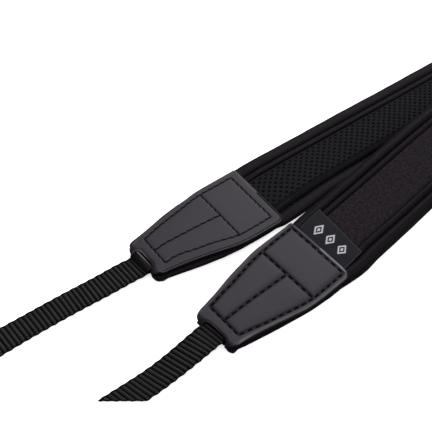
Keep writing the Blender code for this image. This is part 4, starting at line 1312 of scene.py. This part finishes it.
# ---- tongues and label
tongue = {
    "halfWidth": 5.1, "halfThickness": 0.5, "start": {"left": -0.9, "right": 0.9}, "end": 10.5, "level": 0.3,
    "corner": 1.6, "cornerParts": 6, "cuts": 60, "cutPitch": 0.12, "soft": 0.35, "arch": 0.12,
    "highlightBead": 2.3, "beadHeight": 0.35, "beadWidth": 0.24, "beadEnd": (0.5, 2.8), "beadDim": 0.45,
    "beadDimSpan": (-3.6, -2.6), "fall": 0.12, "fallFrom": 1.5,
}


def makeTongue(side, finish):
    # a block bevelled to a rounded strip, its front corners rounded, carried into the slot
    name = "glossy_tongue_" + side
    start, end = tongue["start"][side], tongue["end"]
    middle = end - (end - start) / 2
    deselectAll()
    bpy.ops.mesh.primitive_cube_add(size=1.0)
    block = bpy.context.object
    block.data.name = name
    size = (2 * tongue["halfWidth"], end - start, 2 * tongue["halfThickness"])
    setVertices(block.data, vertexArray(block.data) * size + (0, middle, 0))
    bpy.ops.object.mode_set(mode="EDIT")
    bpy.ops.mesh.select_all(action="DESELECT")
    shape = bmesh.from_edit_mesh(block.data)
    for edge in shape.edges:
        a, b = (vertex.co for vertex in edge.verts)
        edge.select = abs(a.z - b.z) > 0.1 and max(a.y, b.y) < middle
    bmesh.update_edit_mesh(block.data)
    bpy.ops.mesh.bevel(offset=tongue["corner"], segments=tongue["cornerParts"])
    for k in range(1, tongue["cuts"]):
        bpy.ops.mesh.select_all(action="SELECT")
        bpy.ops.mesh.bisect(plane_co=(0, start + tongue["cutPitch"] * k, 0), plane_no=(0, 1, 0))
    bpy.ops.object.mode_set(mode="OBJECT")
    addModifier(block, "soft edge", "BEVEL", width=tongue["soft"], segments=4, angle_limit=math.radians(50))
    applyModifiers(block)
    mesh = block.data
    v, u, t = vertexArray(mesh).T
    setUv(mesh, np.stack([u, v], -1))
    arch = tongue["arch"] * (1 - (v / tongue["halfWidth"]) ** 2)
    # painted highlight: a thin bright line along the raised bead, fading out towards +v
    highlightBead = bell(u - tongue["highlightBead"], tongue["beadWidth"]) * (side == "left")
    dim = 1 - tongue["beadDim"] * smooth(*tongue["beadDimSpan"], v)
    highlightBead = highlightBead * (1 - smooth(*tongue["beadEnd"], v)) * dim
    arch = arch + tongue["beadHeight"] * highlightBead - tongue["fall"] * np.clip(tongue["fallFrom"] - u, 0, 3) ** 2
    setAttribute(mesh, "highlightBead", highlightBead)
    setVertices(mesh, tabPlace(side, u, v, tongue["level"] + t + arch))
    bpy.data.objects.remove(block, do_unlink=True)
    piece = addPiece(name, mesh)
    finishPiece(piece, finish, ["slot_tongue_" + side])


label = {
    "rows": 72, "columns": 121, "halfWidth": 11.9, "middle": -0.5, "thickness": 0.4, "flatLength": 14.1,
    "tuck": 53.5, "shows": 55.3, "leftEnd": 69.4, "rightEnd": 65.0, "above": 0.42, "least": 0.12,
    "seamAt": 8.3, "seamDip": 0.18, "seamWidth": 0.7, "edgeDip": 0.25, "edgeSpan": (9.8, 11.5),
    "free": (0.25, 1.0), "dipShare": 0.6, "curlRight": 0.5, "curlLeft": 0.25, "wave": 0.05, "waveTurns": 5.0,
    "lozenges": (-0.5, 0.0, 0.5), "lozengeHalf": (0.17, 0.24), "ring": ((0.62, 0.68), (0.94, 1.0)),
    "core": (0.26, 0.32), "endRim": 0.05, "sideRim": 0.035,
}


def labelMotif(across, down):
    # plain woven lozenges in a row, each a ring round a solid core
    motif = np.zeros(across.shape)
    halfWidth, halfHeight = label["lozengeHalf"]
    inner, outer = label["ring"]
    for middle in label["lozenges"]:
        out = np.abs(across - middle) / halfWidth + np.abs(down - 0.5) / halfHeight
        motif = np.maximum(motif, smooth(*inner, out) * (1 - smooth(*outer, out)))
        motif = np.maximum(motif, 1 - smooth(*label["core"], out))
    return motif


def makeLabel(finish):
    # a thin sheet lying on the outer panel, its ends a little curled
    down, across = np.meshgrid(np.linspace(0, 1, label["rows"]), np.linspace(-1, 1, label["columns"]),
                               indexing="ij")
    v = label["middle"] + label["halfWidth"] * across
    end = label["leftEnd"] + (label["rightEnd"] - label["leftEnd"]) * (across + 1) / 2
    u = label["tuck"] + (end - label["tuck"]) * down
    front = readTable(padEnd, u)[2]
    ridge = crown(np.clip(np.abs(v), 0, 8.0), panels["outer"]) / pad["halfThickness"]
    dip = label["seamDip"] * bell(np.abs(v) - label["seamAt"], label["seamWidth"])
    dip = dip + label["edgeDip"] * smooth(*label["edgeSpan"], np.abs(v))
    free = smooth(*label["free"], down)
    curl = label["curlRight"] * free * smooth(0.72, 1.0, across)
    curl = curl + label["curlLeft"] * free * smooth(-0.8, -1.0, across)
    level = front * np.minimum(ridge + 0.02, 1.0) + label["above"] - dip * free * label["dipShare"] + curl
    level = level + label["wave"] * np.sin(across * label["waveTurns"] + 1.0) * free
    level = np.maximum(level, front * 0.98 + label["least"])
    half = label["thickness"] / 2
    upper, lower = (carryFromTip("right", u, v, -(level + lift)) for lift in (half, -half))
    uv = np.stack([u, v], -1)

    def bothSides(top, bottom):
        return np.concatenate([top, bottom[:, ::-1]], axis=1)

    piece = gridMesh("woven_label", bothSides(upper, lower), bothSides(uv, uv))
    visible = np.clip((u - label["shows"]) / (end - label["shows"]), 0, 1)
    top = labelMotif(across, visible)
    # painted highlight along the cut ends and the sides
    rim = 1 - smooth(0.0, label["endRim"], 1 - visible)
    rim = np.maximum(rim, 1 - smooth(0.0, label["sideRim"], 1 - np.abs(across)))
    setAttribute(piece.data, "motif", bothSides(top, 0 * top))
    setAttribute(piece.data, "rim", bothSides(rim, rim))
    finishPiece(piece, finish, ["side_label"])


makeCamera()
print("camera set")
fibreGroup, ribGroup, rimHighlightGroup = makeFibreGroup(), makeRibGroup(), makeRimHighlightGroup()
leather, outerCloth, bindingCloth = makeLeather(), makeOuterCloth(), makeBindingCloth()
meshCloth, webCloth, labelCloth = makeMeshCloth(), makeWebCloth(), makeLabelCloth()
threadFinish, glossy = makeThread(), makeGlossy()
print("materials made")
makeStudio()
print("studio set")

makePanel("outer", outerCloth, "outer_fabric")
makePanel("mesh", meshCloth, "mesh_lining")
print("panels made")
for side in ("left", "right"):
    makeBinding(side, bindingCloth)
stitchForm = stitchShape()
makePadStitches("pad_stitches_mesh_side", 1, threadFinish)
makePadStitches("pad_stitches_outer_side", -1, threadFinish)
print("rolled edges sewn")
for side in ("left", "right"):
    makeTab(side, leather)
    for face in ("front", "back"):
        makeTabStitches(side, face, threadFinish)
    makeTongue(side, glossy)
    makeWebbing(side, webCloth)
print("tabs and webbing made")
makeLabel(labelCloth)
print("label made")
